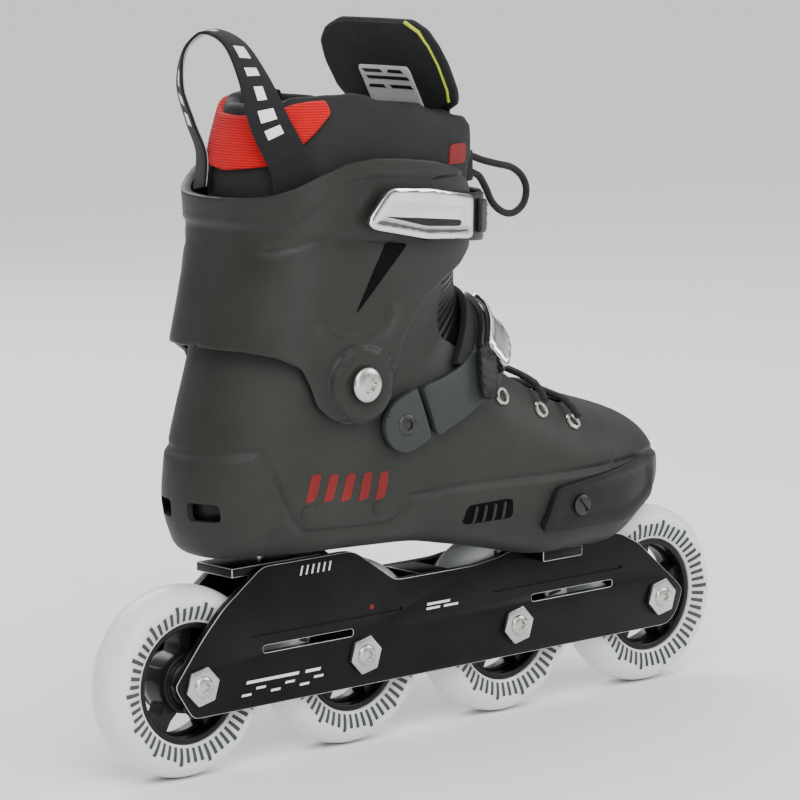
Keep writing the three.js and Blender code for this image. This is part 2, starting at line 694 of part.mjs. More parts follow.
// A point on the boot's outer surface, between two sections.
function bootPoint(place, share, side) {
  const low = Math.floor(place);
  const at = (k) => {
    const [start, end, half, squareStart, squareEnd] = BOOT_SECTIONS[k];
    const along = 2 * share - 1;
    const square = along < 0 ? squareStart : squareEnd;
    const bulge = (1 - Math.abs(along) ** square) ** (1 / square);
    const x = start[0] + (end[0] - start[0]) * share;
    const z = start[1] + (end[1] - start[1]) * share;
    return new THREE.Vector3(x, side * half * widthFit * bulge + toeShift(x), z);
  };
  return at(low).lerp(at(low + 1), place - low);
}

function bootNormal(place, share, side) {
  const step = 0.02;
  const here = bootPoint(place, share, side);
  const down = bootPoint(place, share + step, side).sub(here);
  const back = bootPoint(place + step, share, side).sub(here);
  return down.cross(back).multiplyScalar(side).normalize();
}

function eyelet(place, share, side) {
  const [low, high] = [EYELET_LIFT, EYELET_LIFT + EYELET_HEIGHT];
  const ring = turned(
    [[EYELET_HOLE, low], [EYELET_RADIUS, low], [EYELET_RADIUS, high], [EYELET_HOLE, high]], 12,
  );
  const turn = new THREE.Quaternion().setFromUnitVectors(
    new THREE.Vector3(0, 1, 0), bootNormal(place, share, side),
  );
  const matrix = new THREE.Matrix4().compose(
    bootPoint(place, share, side), turn, new THREE.Vector3(1, 1, 1),
  );
  return ring.transform(matrix.elements);
}

// Points of one lace crossing on one side: share of the way down, height above the shell.
const LACE_RISE = [[0.2, 4.3], [0.16, 4], [0.12, 3.4], [0.075, 1.4], [0.03, -0.6]];
const LACE_DIP = -0.6; // the lace sinks a little below the shell's line over the throat

// The lace crosses the throat at each pair of eyelets and runs along one side between them.
function shellLace() {
  const [[high], [low]] = EYELET_PLACES.slice(1);
  const at = (section, share, side, height) => bootPoint(section, share, side)
    .addScaledVector(bootNormal(section, share, side), height);
  const half = (section, side) => LACE_RISE.map(([share, rise]) => at(section, share, side, rise));
  const crossing = (section, side) => [
    ...half(section, side), at(section, 0.0005, 1, LACE_DIP), ...half(section, -side).reverse(),
  ];
  const [share, height] = LACE_RISE[0];
  const link = at((high + low) / 2, share, 1, height);
  return cord([...crossing(low, -1), link, ...crossing(high, 1)], LACE_RADIUS, 34);
}

// ---- Cuff ---------------------------------------------------------------------------------

// Level rings of the cuff: height, back, front, half width.
const CUFF_RINGS = [
  [150, -135, 30, 49], [170, -133.5, 30, 50], [185, -132, 28, 50.5], [200, -130.5, 26, 50.5],
  [215, -126.5, 25, 50], [230, -122.5, 24, 50], [245, -119.5, 24, 50.5], [257, -118, 24, 51],
  [266, -118.5, 24, 51.3], [292, -120, 24, 51.5],
];
const CUFF_SIDE = [
  [-150, 199.5], [-125, 198], [-114, 195], [-104, 189.5], [-100, 181], [-97, 172], [-91, 166],
  [-82, 162], [-72.6, 161], [-63, 163], [-57, 170], [-54.5, 180], [-51, 192], [-46, 202],
  [-39, 210], [-31, 217], [-21, 223.5], [-7, 229], [3, 236], [4.5, 243], [3.5, 262], [0, 268],
  [-12, 275], [-30, 279.5], [-49, 282], [-64, 283], [-79, 281.5], [-92, 276.5], [-103, 271],
  [-112, 267.5], [-122, 266], [-150, 266],
];
const RELIEF_SLIT = [[-57, 243.5], [-46, 242], [-69, 220], [-75, 213.5]];
const CUFF_STANDARD_WIDTH = 103;
const BOSS_HEIGHT = 2.6;
const HINGE_HEAD_HEIGHT = 1.8;
const HINGE_BOLT_DEPTH = 8.4; // from the boot's widest point to the shank's end
const cuffFit = CUFF_WIDTH / CUFF_STANDARD_WIDTH;

function cuffBody(out) {
  return loft(CUFF_RINGS.map(([z, back, front, half]) => sectionRing(
    [front + out, z], [back - out, z], half * cuffFit + out, 2.3, 2.7,
  )));
}

const cuffSideY = 50.5 * cuffFit; // the cuff's side at the hinge
const bossY = cuffSideY + BOSS_HEIGHT;

function cuff() {
  const outline = plate(CUFF_SIDE, -80, 80);
  let body = cuffBody(0).intersect(outline).subtract(cuffBody(-CUFF_WALL));
  for (const side of [1, -1]) {
    const bossSpan = spanY(side, cuffSideY - 1.5, bossY);
    body = body.add(pin(HINGE_RADIUS, ...bossSpan, HINGE_X, HINGE_Z, 20));
    body = body.subtract(hingeHole(side));
    body = body.subtract(plate(RELIEF_SLIT, ...spanY(side, 30, 80)));
  }
  return body;
}

function hingeBolt(side) {
  const headFrom = bossY + GAP;
  const shankSpan = spanY(side, BOOT_WIDTH / 2 - HINGE_BOLT_DEPTH, headFrom + 1);
  const headSpan = spanY(side, headFrom, headFrom + HINGE_HEAD_HEIGHT);
  const shank = pin(HINGE_SHANK_RADIUS, ...shankSpan, HINGE_X, HINGE_Z, SMALL_SEGMENTS);
  return shank.add(pin(HINGE_BOLT_RADIUS, ...headSpan, HINGE_X, HINGE_Z));
}

// A piece that follows the cuff's surface between two heights above it.
function onCuff(outline, low, high, side) {
  const [y0, y1] = side > 0 ? [0, 90] : [-90, 0];
  const blank = plate(outline, y0, y1);
  return cuffBody(high).intersect(blank).subtract(cuffBody(low));
}

const BUCKLE_LIFT = 1; // gap for chord error between the cuff and what lies on it
const leverLow = BUCKLE_LIFT + BUCKLE_BASE_THICKNESS + GAP;
const CUFF_BASE = [[-38, 243], [-6, 240], [16, 237.5], [16, 260.5], [-6, 262.5], [-38, 266.5]];
const CUFF_LEVER = [
  [-74, 255], [-71, 251.5], [-40, 244.5], [-5, 241.5], [-5, 262], [-36, 267.5], [-62, 270],
];
const STRAP_ANCHOR = [-22, 251];
const STRAP_ANCHOR_Y = CUFF_WIDTH / 2 + 1.5;
const STRAP_ROOT_X = -11;
const STRAP_LOW_EDGE = 238.5;
const STRAP_HIGH_EDGE = 261.5;
const STRAP_TIP = [16.4, 2]; // where the strap ends under the buckle's plate, as [x, y]

function cuffStrap() {
  const low = BUCKLE_LIFT;
  const high = low + STRAP_THICKNESS;
  const ring = cuffBody(high).subtract(cuffBody(low));
  const [tipX, tipY] = STRAP_TIP;
  const inFront = box(tipX, 60, -90, tipY, STRAP_LOW_EDGE, STRAP_HIGH_EDGE);
  const inside = box(STRAP_ROOT_X, 60, 0, 90, STRAP_LOW_EDGE, STRAP_HIGH_EDGE);
  return ring.intersect(inFront.add(inside));
}

// ---- Instep buckle ------------------------------------------------------------------------

const ARM_LIFT = 1.6;
const ARM_THICKNESS = 3.6;
const ARM_SCREW = [-46, 158];
const ARM_END_RADIUS = 13;
const LADDER_ANCHOR = [-40, 161];
const SCREW_SEAT_Y = BOOT_WIDTH / 2 - 0.5;
const ARM_SPLIT = [[-35.3, 174.4], [-28, 150.4]];
const ARM_HINGE_GAP = 3.2; // lets the arm's inner edge swing back
const ARM_UPPER = [[-24, 176.5], [-11, 180], [2, 187], [12, 198], [20, 208], [31, 217]];
const ARM_LOWER = [[44, 200], [33, 188], [22, 176.5], [12, 169], [-9, 158.5]];
const LADDER_ROOT = [[-33, 171.5], [-28, 154]];
const LADDER_UPPER = [[-14, 176.5], [2, 183], [14, 193], [24, 203], [36, 214]];
const LADDER_LOWER = [[44, 201], [34, 189], [22, 177.5], [8, 169]];
const BUCKLE_PLATE = [[4, 190], [19, 206], [28, 214], [41, 201], [30, 188], [16, 175]];
const LEVER_PLATE = [[7, 190], [19, 203], [28, 211.5], [39, 200], [28.5, 188.5], [16, 177.5]];
const RIDGE_SPLIT_Y = -5;

function onBoot(outline, low, high, y0, y1) {
  const blank = plate(outline, y0, y1);
  return bootBody(high).intersect(blank).subtract(bootBody(low));
}

function armFoot() {
  const [cx, cz] = ARM_SCREW;
  const outline = [];
  for (let degrees = 107; degrees <= 287; degrees += 22.5) {
    const angle = (degrees * Math.PI) / 180;
    outline.push([cx + ARM_END_RADIUS * Math.cos(angle), cz + ARM_END_RADIUS * Math.sin(angle)]);
  }
  const [top, bottom] = ARM_SPLIT;
  outline.push([bottom[0] - ARM_HINGE_GAP, bottom[1]], [top[0] - ARM_HINGE_GAP, top[1]]);
  return onBoot(outline, ARM_LIFT, ARM_LIFT + ARM_THICKNESS, -80, 0).subtract(screwHole(cx, cz, -1));
}

function screwHole(x, z, side) {
  return pin(SCREW_RADIUS + BOLT_CLEARANCE, ...spanY(side, 20, 90), x, z, SMALL_SEGMENTS);
}

function instepArm() {
  const [top, bottom] = ARM_SPLIT;
  const outline = [top, ...ARM_UPPER, ...ARM_LOWER, bottom];
  return onBoot(outline, ARM_LIFT, ARM_LIFT + ARM_THICKNESS, -80, RIDGE_SPLIT_Y);
}

function instepLadder() {
  const [top, bottom] = LADDER_ROOT;
  const outline = [top, ...LADDER_UPPER, ...LADDER_LOWER, bottom];
  return onBoot(outline, ARM_LIFT, ARM_LIFT + STRAP_THICKNESS, RIDGE_SPLIT_Y + GAP, 80);
}

const buckleLow = ARM_LIFT + ARM_THICKNESS + GAP;
const instepLeverLow = buckleLow + BUCKLE_BASE_THICKNESS + GAP;

function screw(x, z, side, surfaceY) {
  const span = spanY(side, surfaceY - SCREW_SUNK, surfaceY + SCREW_PROUD);
  return pin(SCREW_RADIUS, ...span, x, z, SMALL_SEGMENTS);
}

// ---- Toe sliders --------------------------------------------------------------------------

const SLIDER_SIDE = [[44, 118], [36, 98.5], [92, 98], [104, 101], [118, 106], [119, 119], [114, 124.5]];
const SLIDER_SCREW = [59, 107.5];
const SLIDER_CLEAR = 0.5; // shell to slider

function toeSlider(side) {
  const [y0, y1] = spanY(side, 0, 90);
  const body = onBoot(SLIDER_SIDE, SLIDER_CLEAR, SLIDER_HEIGHT, y0, y1);
  return body.subtract(screwHole(...SLIDER_SCREW, side));
}

// ---- Assembly -----------------------------------------------------------------------------

const root = new THREE.Group();
const chassis = new THREE.Group();
chassis.position.z = WHEEL_RADIUS - AXLE_HEIGHT;
root.add(chassis);

function place(name, body, material) {
  chassis.add(mesh(name, body, material));
}

place('boot_shell', bootShell(), SHELL_PLASTIC);
place('frame', frame(), ANODISED);
place('frame_bolt_heel', mountBolt(heelBoltX, 0, boltSeatZ(heelBoltX) + GAP, 15), STEEL);
for (const [label, side] of [['right', -1], ['left', 1]]) {
  place(
    `frame_bolt_ball_${label}`,
    mountBolt(BALL_BOLT_X, side * BALL_BOLT_Y, boltSeatZ(BALL_BOLT_X) + GAP, 17),
    STEEL,
  );
  place(`toe_slider_${label}`, toeSlider(side), BLACK_PLASTIC);
  const sliderY = (BOOT_WIDTH / 2) * 0.985 + SLIDER_HEIGHT;
  place(`slider_screw_${label}`, screw(...SLIDER_SCREW, side, sliderY), STEEL);
  place(`hinge_bolt_${label}`, hingeBolt(side), STEEL);
  EYELET_PLACES.forEach(([section, share], i) => {
    place(`eyelet_${label}_${i + 1}`, eyelet(section, share, side), STEEL);
  });
}
place('liner_foot', linerFoot(), LINER_CLOTH);
place('liner_collar', linerCollar(), LINER_CLOTH);
place('insole', insole(), LINER_CLOTH);
place('tongue', tongue(), LINER_CLOTH);
const pullLoopPath = PULL_LOOP.map(([[x, y, z], across]) => [[x, y * widthFit, z], across]);
place('pull_loop', band(pullLoopPath, WEBBING_WIDTH, WEBBING_THICKNESS), WEBBING);
const laceLoopPath = LACE_LOOP.map((point) => new THREE.Vector3(...point));
place('lace_loop', cord(laceLoopPath, LOOP_CORD_RADIUS, 26), WEBBING);
place('shell_lace', shellLace(), WEBBING);
place('cuff', cuff(), SHELL_PLASTIC);
place('cuff_buckle_base', onCuff(CUFF_BASE, BUCKLE_LIFT, leverLow - GAP, -1), BLACK_PLASTIC);
place('cuff_lever', onCuff(CUFF_LEVER, leverLow, leverLow + LEVER_THICKNESS, -1), CHROME);
place('cuff_strap', cuffStrap(), BLACK_PLASTIC);
place('cuff_strap_anchor', screw(...STRAP_ANCHOR, 1, STRAP_ANCHOR_Y), BLACK_PLASTIC);
place('instep_arm_foot', armFoot(), ARM_PLASTIC);
place('instep_arm', instepArm(), ARM_PLASTIC);
place('instep_arm_screw', screw(...ARM_SCREW, -1, SCREW_SEAT_Y), STEEL);
place('instep_ladder', instepLadder(), BLACK_PLASTIC);
place('instep_ladder_anchor', screw(...LADDER_ANCHOR, 1, SCREW_SEAT_Y), STEEL);
place(
  'instep_buckle_base',
  onBoot(BUCKLE_PLATE, buckleLow, instepLeverLow - GAP, -80, RIDGE_SPLIT_Y - 1),
  BLACK_PLASTIC,
);
place(
  'instep_lever',
  onBoot(LEVER_PLATE, instepLeverLow, instepLeverLow + LEVER_THICKNESS, -80, RIDGE_SPLIT_Y - 3),
  CHROME,
);
for (let number = 0; number < WHEEL_COUNT; number += 1) {
  const wheel = new THREE.Group();
  wheel.position.set(axleX(number), 0, AXLE_HEIGHT);
  const name = `wheel_${number + 1}`;
  wheel.add(mesh(`${name}_tyre`, tyre(), URETHANE));
  wheel.add(mesh(`${name}_core`, wheelCore(), BLACK_PLASTIC));
  wheel.add(mesh(`${name}_bearing_right`, bearing(-bearingOuterEnd), STEEL));
  wheel.add(mesh(`${name}_bearing_left`, bearing(BEARING_SPACING / 2), STEEL));
  wheel.add(mesh(`${name}_spacer`, spacer(), STEEL));
  wheel.add(mesh(`${name}_axle`, axle(), STEEL));
  chassis.add(wheel);
}

export default root;
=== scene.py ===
import math

import bmesh
import bpy
import numpy as np
from mathutils import Matrix, Vector, geometry


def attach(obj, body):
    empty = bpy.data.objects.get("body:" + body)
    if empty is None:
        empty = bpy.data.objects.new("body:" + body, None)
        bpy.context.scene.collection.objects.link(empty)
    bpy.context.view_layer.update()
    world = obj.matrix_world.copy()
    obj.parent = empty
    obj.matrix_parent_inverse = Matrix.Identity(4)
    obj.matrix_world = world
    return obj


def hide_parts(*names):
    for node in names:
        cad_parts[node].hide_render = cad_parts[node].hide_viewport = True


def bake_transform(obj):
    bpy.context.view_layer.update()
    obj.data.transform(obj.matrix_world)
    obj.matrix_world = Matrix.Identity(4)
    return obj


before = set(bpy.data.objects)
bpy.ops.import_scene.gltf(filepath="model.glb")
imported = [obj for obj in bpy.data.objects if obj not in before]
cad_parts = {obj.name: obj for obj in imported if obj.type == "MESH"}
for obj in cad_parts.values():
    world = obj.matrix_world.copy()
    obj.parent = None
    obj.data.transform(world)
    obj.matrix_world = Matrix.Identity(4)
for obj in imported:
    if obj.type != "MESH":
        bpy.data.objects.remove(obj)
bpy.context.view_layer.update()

# Lengths below are in millimetres in the frame of the record, and MM turns them to metres.
# +X is the toe, +Y the inner (left) side, +Z up. The outer side, with the levers, is RIGHT.
MM = 0.001
RIGHT, LEFT = -1, 1

# ---- Mesh helpers -------------------------------------------------------------------------


def make(name, verts, faces):
    """A mesh object from millimetres."""
    mesh = bpy.data.meshes.new(name)
    mesh.from_pydata([tuple(float(c) * MM for c in v) for v in verts], [], faces)
    mesh.update()
    obj = bpy.data.objects.new(name, mesh)
    bpy.context.scene.collection.objects.link(obj)
    return obj


def settle(obj, merge=0.0):
    """Joins vertices closer than merge, and turns all faces outward."""
    work = bmesh.new()
    work.from_mesh(obj.data)
    if merge:
        bmesh.ops.remove_doubles(work, verts=work.verts, dist=merge * MM)
    bmesh.ops.recalc_face_normals(work, faces=work.faces)
    work.to_mesh(obj.data)
    work.free()
    return obj


def bake(obj):
    """Turns the object's modifiers into mesh."""
    graph = bpy.context.evaluated_depsgraph_get()
    mesh = bpy.data.meshes.new_from_object(obj.evaluated_get(graph))
    obj.modifiers.clear()
    obj.data = mesh
    return obj


def bevel(obj, width, segments=2, angle=40, material=-1):
    """Rounds the edges sharper than angle; material is the slot that the rounding takes."""
    step = obj.modifiers.new("bevel", "BEVEL")
    step.width = width * MM
    step.segments = segments
    step.limit_method = "ANGLE"
    step.angle_limit = math.radians(angle)
    step.material = material
    return bake(obj)


def thicken(obj, thickness):
    """Gives a skin a wall, inward from its faces."""
    step = obj.modifiers.new("wall", "SOLIDIFY")
    step.thickness = thickness * MM
    step.offset = -1
    return bake(obj)


def smoothed(obj):
    """One subdivision."""
    obj.modifiers.new("smooth", "SUBSURF").levels = 1
    return bake(obj)


def cut(obj, *cutters):
    """Cuts the cutters out of obj and deletes them."""
    for cutter in cutters:
        step = obj.modifiers.new("cut", "BOOLEAN")
        step.operation = "DIFFERENCE"
        step.solver = "EXACT"
        step.object = cutter
        bake(obj)
        bpy.data.objects.remove(cutter)
    return obj


def joined(name, parts):
    """One object from several, with each part's material slots kept."""
    with bpy.context.temp_override(
        active_object=parts[0], selected_editable_objects=parts, object=parts[0],
    ):
        bpy.ops.object.join()
    parts[0].name = name
    parts[0].data.name = name
    return parts[0]


def painted(obj, *materials):
    """Gives obj these material slots."""
    obj.data.materials.clear()
    for material in materials:
        obj.data.materials.append(material)
    return obj


def placed(obj, body, stands_for=(), angle=35):
    """The last step of a piece: smooth shading, its body and what it replaces."""
    obj.data.shade_smooth()
    obj.data.set_sharp_from_angle(angle=math.radians(angle))
    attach(obj, body)
    if stands_for:
        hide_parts(*stands_for)
    return obj


def grid_faces(rows, columns, wrap_rows=False, wrap_columns=False):
    """Quads between the points of a grid, row by row."""
    faces = []
    for r in range(rows if wrap_rows else rows - 1):
        for c in range(columns if wrap_columns else columns - 1):
            r2, c2 = (r + 1) % rows, (c + 1) % columns
            faces.append((r * columns + c, r * columns + c2, r2 * columns + c2, r2 * columns + c))
    return faces


def lathe(name, profile, segments, centre=(0, 0, 0), closed=False):
    """A profile of (radius, y) turned about the Y axis through centre."""
    angles = np.linspace(0, 2 * np.pi, segments, endpoint=False)
    verts = [
        (centre[0] + r * math.cos(a), centre[1] + y, centre[2] + r * math.sin(a))
        for a in angles for r, y in profile
    ]
    faces = grid_faces(segments, len(profile), wrap_rows=True, wrap_columns=closed)
    return settle(make(name, verts, faces), merge=0.001)


def plate(name, outline, y0, y1):
    """An outline of (x, z), run from y0 to y1."""
    n = len(outline)
    verts = [(x, y, z) for y in (y0, y1) for x, z in outline]
    faces = [tuple(range(n)), tuple(range(2 * n - 1, n - 1, -1))]
    faces += [(i, (i + 1) % n, n + (i + 1) % n, n + i) for i in range(n)]
    return settle(make(name, verts, faces))


def block(name, x0, x1, y0, y1, z0, z1, soft=0.0):
    """A box, with its edges rounded by soft."""
    obj = plate(name, [(x0, z0), (x1, z0), (x1, z1), (x0, z1)], y0, y1)
    return bevel(obj, soft) if soft else obj


def rounded(points, radius, steps=4):
    """The outline with its corners rounded off."""
    out = []
    n = len(points)
    for i in range(n):
        here = np.array(points[i], float)
        before, after = np.array(points[i - 1], float), np.array(points[(i + 1) % n], float)
        reach = [min(radius, 0.45 * np.linalg.norm(p - here)) for p in (before, after)]
        a = here + (before - here) / np.linalg.norm(before - here) * reach[0]
        b = here + (after - here) / np.linalg.norm(after - here) * reach[1]
        for k in range(steps + 1):
            t = k / steps
            out.append(tuple((1 - t) ** 2 * a + 2 * t * (1 - t) * here + t * t * b))
    return out


def resampled(points, spacing, closed=True):
    """Points at even spacing along the outline."""
    p = np.array(list(points) + ([points[0]] if closed else []), float)
    along = np.concatenate([[0], np.cumsum(np.linalg.norm(np.diff(p, axis=0), axis=1))])
    count = max(4, int(round(along[-1] / spacing)))
    at = np.linspace(0, along[-1], count, endpoint=not closed)
    return np.stack([np.interp(at, along, p[:, k]) for k in range(p.shape[1])], 1)


def spline(table, at):
    """Catmull-Rom through the table's rows, at row numbers that may be fractions."""
    table = np.asarray(table, float)
    at = np.clip(np.asarray(at, float), 0, len(table) - 1)
    i = np.minimum(at.astype(int), len(table) - 2)
    t = (at - i)[..., None]
    before, after = np.maximum(i - 1, 0), np.minimum(i + 2, len(table) - 1)
    p0, p1, p2, p3 = table[before], table[i], table[i + 1], table[after]
    return 0.5 * (2 * p1 + (p2 - p0) * t + (2 * p0 - 5 * p1 + 4 * p2 - p3) * t ** 2
                  + (3 * p1 - p0 - 3 * p2 + p3) * t ** 3)


def curve_points(points, steps):
    """A smooth run of points through the given ones."""
    return spline(points, np.linspace(0, len(points) - 1, steps))


def inside(points, outline):
    """Whether each point is inside the outline."""
    x, y = points[:, 0], points[:, 1]
    hit = np.zeros(len(points), bool)
    for (x0, y0), (x1, y1) in zip(outline, np.roll(outline, -1, axis=0)):
        if y0 == y1:
            continue
        crosses = ((y0 > y) != (y1 > y)) & (x < (x1 - x0) * (y - y0) / (y1 - y0) + x0)
        hit ^= crosses
    return hit


def line_distance(points, line):
    """Distance of each point from a run of segments."""
    best = np.full(len(points), 1e9)
    line = np.asarray(line, float)
    for a, b in zip(line[:-1], line[1:]):
        d = b - a
        t = np.clip((points - a) @ d / max(d @ d, 1e-12), 0, 1)
        best = np.minimum(best, np.linalg.norm(points - a - t[:, None] * d, axis=1))
    return best


def depth_in(points, outline):
    """How far inside the outline each point is; negative outside."""
    outline = np.asarray(outline, float)
    distance = line_distance(points, np.concatenate([outline, outline[:1]]))
    return np.where(inside(points, outline), distance, -distance)


def step_up(distance, width):
    """A smooth step from 0 to 1, width wide, about distance 0."""
    t = np.clip(distance / width + 0.5, 0, 1)
    return t * t * (3 - 2 * t)


def conform(name, outline, place, low, high, soft=0.7, spacing=2.5, relief=None):
    """A slab over a surface. place(points, height) sends points of the outline's plane to that
    height above the surface; relief(points) adds to the top's height."""
    edge = resampled(outline, spacing)
    lo, hi = edge.min(0), edge.max(0)
    xs, ys = [np.arange(lo[k] + spacing / 2, hi[k], spacing) for k in (0, 1)]
    inner = np.array([(x, y) for x in xs for y in ys])
    if len(inner):
        inner = inner[depth_in(inner, edge) > 0.55 * spacing]
    points = np.concatenate([edge, inner]) if len(inner) else edge
    loop = [(i, (i + 1) % len(edge)) for i in range(len(edge))]
    coords = [Vector(p) for p in points.tolist()]
    found, _, triangles, _, _, _ = geometry.delaunay_2d_cdt(coords, loop, [], 1, 1e-5)
    flat = np.array([tuple(v) for v in found])
    tops = high + (relief(flat) if relief else np.zeros(len(flat)))
    top = place(flat, tops)
    bottom = place(flat, np.full(len(flat), float(low)))
    n = len(flat)
    faces = [tuple(t) for t in triangles]
    edges = dict.fromkeys((a, b) for t in faces for a, b in zip(t, t[1:] + t[:1]))
    walls = [(b, a, n + a, n + b) for a, b in edges if (b, a) not in edges]
    faces += [tuple(n + k for k in reversed(t)) for t in triangles] + walls
    obj = settle(make(name, np.concatenate([top, bottom]), faces))
    return bevel(obj, soft, angle=50) if soft else obj


def tube(name, points, radius, sides):
    """A round tube along points, closed by flat ends."""
    points = np.asarray(points, float)
    ahead = np.concatenate([points[1:], points[-1:]])
    behind = np.concatenate([points[:1], points[:-1]])
    tangents = (ahead - behind) / np.linalg.norm(ahead - behind, axis=1)[:, None]
    normal = np.cross(tangents[0], [0.3, 0.2, 0.93])
    verts = []
    for p, t in zip(points, tangents):
        normal = normal - t * (normal @ t)
        normal /= np.linalg.norm(normal)
        other = np.cross(t, normal)
        for k in range(sides):
            a = 2 * math.pi * k / sides
            verts.append(p + radius * (math.cos(a) * normal + math.sin(a) * other))
    faces = grid_faces(len(points), sides, wrap_columns=True)
    faces += [tuple(range(sides)), tuple(range(len(verts) - 1, len(verts) - sides - 1, -1))]
    return settle(make(name, verts, faces))


def ribbon(name, centres, across, width, thickness, soft=0.3):
    """A flat band: across gives the direction of its width at each centre."""
    centres, across = np.asarray(centres, float), np.asarray(across, float)
    tangents = np.gradient(centres, axis=0)
    tangents /= np.linalg.norm(tangents, axis=1)[:, None]
    across = across - tangents * np.sum(across * tangents, 1)[:, None]
    across /= np.linalg.norm(across, axis=1)[:, None]
    thick = np.cross(tangents, across)
    section = [(-1, -1), (0, -1), (1, -1), (1, 1), (0, 1), (-1, 1)]
    verts = [
        c + a * width / 2 * u + n * thickness / 2 * v
        for c, a, n in zip(centres, across, thick) for u, v in section
    ]
    k = len(section)
    faces = grid_faces(len(centres), k, wrap_columns=True)
    faces += [tuple(range(k)), tuple(range(len(verts) - 1, len(verts) - k - 1, -1))]
    return bevel(settle(make(name, verts, faces)), soft, angle=50)


# ---- Materials ----------------------------------------------------------------------------


SOFT_GLOSS = 0.2  # how much a plastic or cloth mirrors of the pale room


class Nodes:
    """A material's nodes, made one after another."""

    def __init__(self, name):
        self.material = bpy.data.materials.new(name)
        self.material.use_nodes = True
        self.tree = self.material.node_tree
        self.shader = self.tree.nodes["Principled BSDF"]
        self.shader.inputs["Specular IOR Level"].default_value = SOFT_GLOSS
        self.coords = self.tree.nodes.new("ShaderNodeTexCoord").outputs["Object"]

    def add(self, kind, settings=None, **inputs):
        node = self.tree.nodes.new("ShaderNode" + kind)
        for key, value in (settings or {}).items():
            setattr(node, key, value)
        for key, value in inputs.items():
            socket = node.inputs[int(key[1:]) if key[1:].isdigit() else key.replace("_", " ")]
            self.put(socket, value)
        return node

    def put(self, socket, value):
        if isinstance(value, bpy.types.NodeSocket):
            self.tree.links.new(value, socket)
        else:
            socket.default_value = value

    def noise(self, scale, detail=2.0, stretch=None):
        where = self.coords
        if stretch:
            where = self.add("Mapping", Vector=self.coords, Scale=stretch).outputs[0]
        return self.add("TexNoise", Vector=where, Scale=scale, Detail=detail).outputs[0]

    def spread(self, value, low, high):
        return self.add("MapRange", Value=value, To_Min=low, To_Max=high).outputs[0]

    def blend(self, factor, a, b):
        node = self.add("Mix", {"data_type": "RGBA"})
        self.put(node.inputs[0], factor)
        self.put(node.inputs[6], a)
        self.put(node.inputs[7], b)
        return node.outputs[2]

    def waves(self, scale, direction="X", turn=(0, 0, 0)):
        where = self.add("Mapping", Vector=self.coords, Rotation=turn).outputs[0]
        settings = {"wave_type": "BANDS", "bands_direction": direction}
        return self.add("TexWave", settings, Vector=where, Scale=scale).outputs[1]

    def math(self, operation, a, b):
        return self.add("Math", {"operation": operation}, _0=a, _1=b).outputs[0]

    def bump(self, height, strength, distance):
        node = self.add("Bump", Height=height, Strength=strength, Distance=distance * MM)
        self.put(self.shader.inputs["Normal"], node.outputs[0])


def rgba(colour):
    return (*colour, 1.0)


def finish(name, dark, light, rough, grain=800, relief=0.1, patches=35, metal=0.0, **shader):
    """A material with cloudy colour, uneven gloss and a fine grain. Colours are linear."""
    n = Nodes(name)
    n.put(n.shader.inputs["Metallic"], metal)
    clouds = n.noise(patches, 4.0)
    n.put(n.shader.inputs["Base Color"], n.blend(n.spread(clouds, -0.3, 1.3), rgba(dark), rgba(light)))
    n.put(n.shader.inputs["Roughness"], n.spread(n.noise(patches * 2.3, 3.0), *rough))
    n.bump(n.noise(grain, 3.0), 0.6, relief)
    for key, value in shader.items():
        n.put(n.shader.inputs[key.replace("_", " ")], value)
    return n.material


def woven(name, dark, light, rough, threads, relief, turn=(0, 0, 0), sheen=0.04):
    """Cloth or tape: two crossing sets of threads over a soft colour variation, darker between the threads as
    painted shade.
    """
    n = Nodes(name)
    pair = [n.waves(threads, axis, turn) for axis in ("X", "Z")]
    third = n.waves(threads, "Y", turn)
    weave = n.math("ADD", n.math("MULTIPLY", pair[0], pair[1]), n.math("MULTIPLY", third, 0.5))
    # Darker where the threads dip: painted shade, times a soft random tone.
    shade = n.math("MULTIPLY", weave, n.spread(n.noise(60, 3.0), 0.6, 1.2))
    n.put(n.shader.inputs["Base Color"], n.blend(shade, rgba(dark), rgba(light)))
    n.put(n.shader.inputs["Roughness"], n.spread(n.noise(150), *rough))
    n.put(n.shader.inputs["Sheen Weight"], sheen)
    n.bump(weave, 0.7, relief)
    return n.material


def brushed(name, dark, light, rough, stretch):
    """Turned or brushed metal with fine scratches along one direction."""
    n = Nodes(name)
    n.put(n.shader.inputs["Metallic"], 1.0)
    scratches = n.noise(900, 4.0, stretch)
    n.put(n.shader.inputs["Base Color"], n.blend(n.noise(50), rgba(dark), rgba(light)))
    n.put(n.shader.inputs["Roughness"], n.spread(scratches, *rough))
    n.bump(scratches, 0.25, 0.02)
    return n.material


def leather(name, dark, light, rough, cells, relief):
    """Grained leather or coated foam."""
    n = Nodes(name)
    cell = n.add("TexVoronoi", {"feature": "DISTANCE_TO_EDGE"}, Vector=n.coords, Scale=cells)
    grain = n.math("MINIMUM", cell.outputs[0], 0.12)
    n.put(n.shader.inputs["Base Color"], n.blend(n.noise(45, 3.0), rgba(dark), rgba(light)))
    n.put(n.shader.inputs["Roughness"], n.spread(n.noise(220, 2.0), *rough))
    n.bump(grain, 0.5, relief)
    return n.material


def ribbed(name, dark, light, ribs, relief):
    """Knitted cloth with level ribs; the colour is lighter on the ribs and darker between them, which is
    painted shade.
    """
    n = Nodes(name)
    rows = n.waves(ribs, "Z")
    stitches = n.waves(ribs * 1.7, "Y")
    weave = n.math("ADD", rows, n.math("MULTIPLY", stitches, 0.35))
    # The rib height also sets the colour: painted shade between the ribs.
    n.put(n.shader.inputs["Base Color"], n.blend(weave, rgba(dark), rgba(light)))
    n.put(n.shader.inputs["Roughness"], n.spread(n.noise(200), 0.65, 0.9))
    n.put(n.shader.inputs["Sheen Weight"], 0.05)
    n.bump(weave, 0.8, relief)
    return n.material


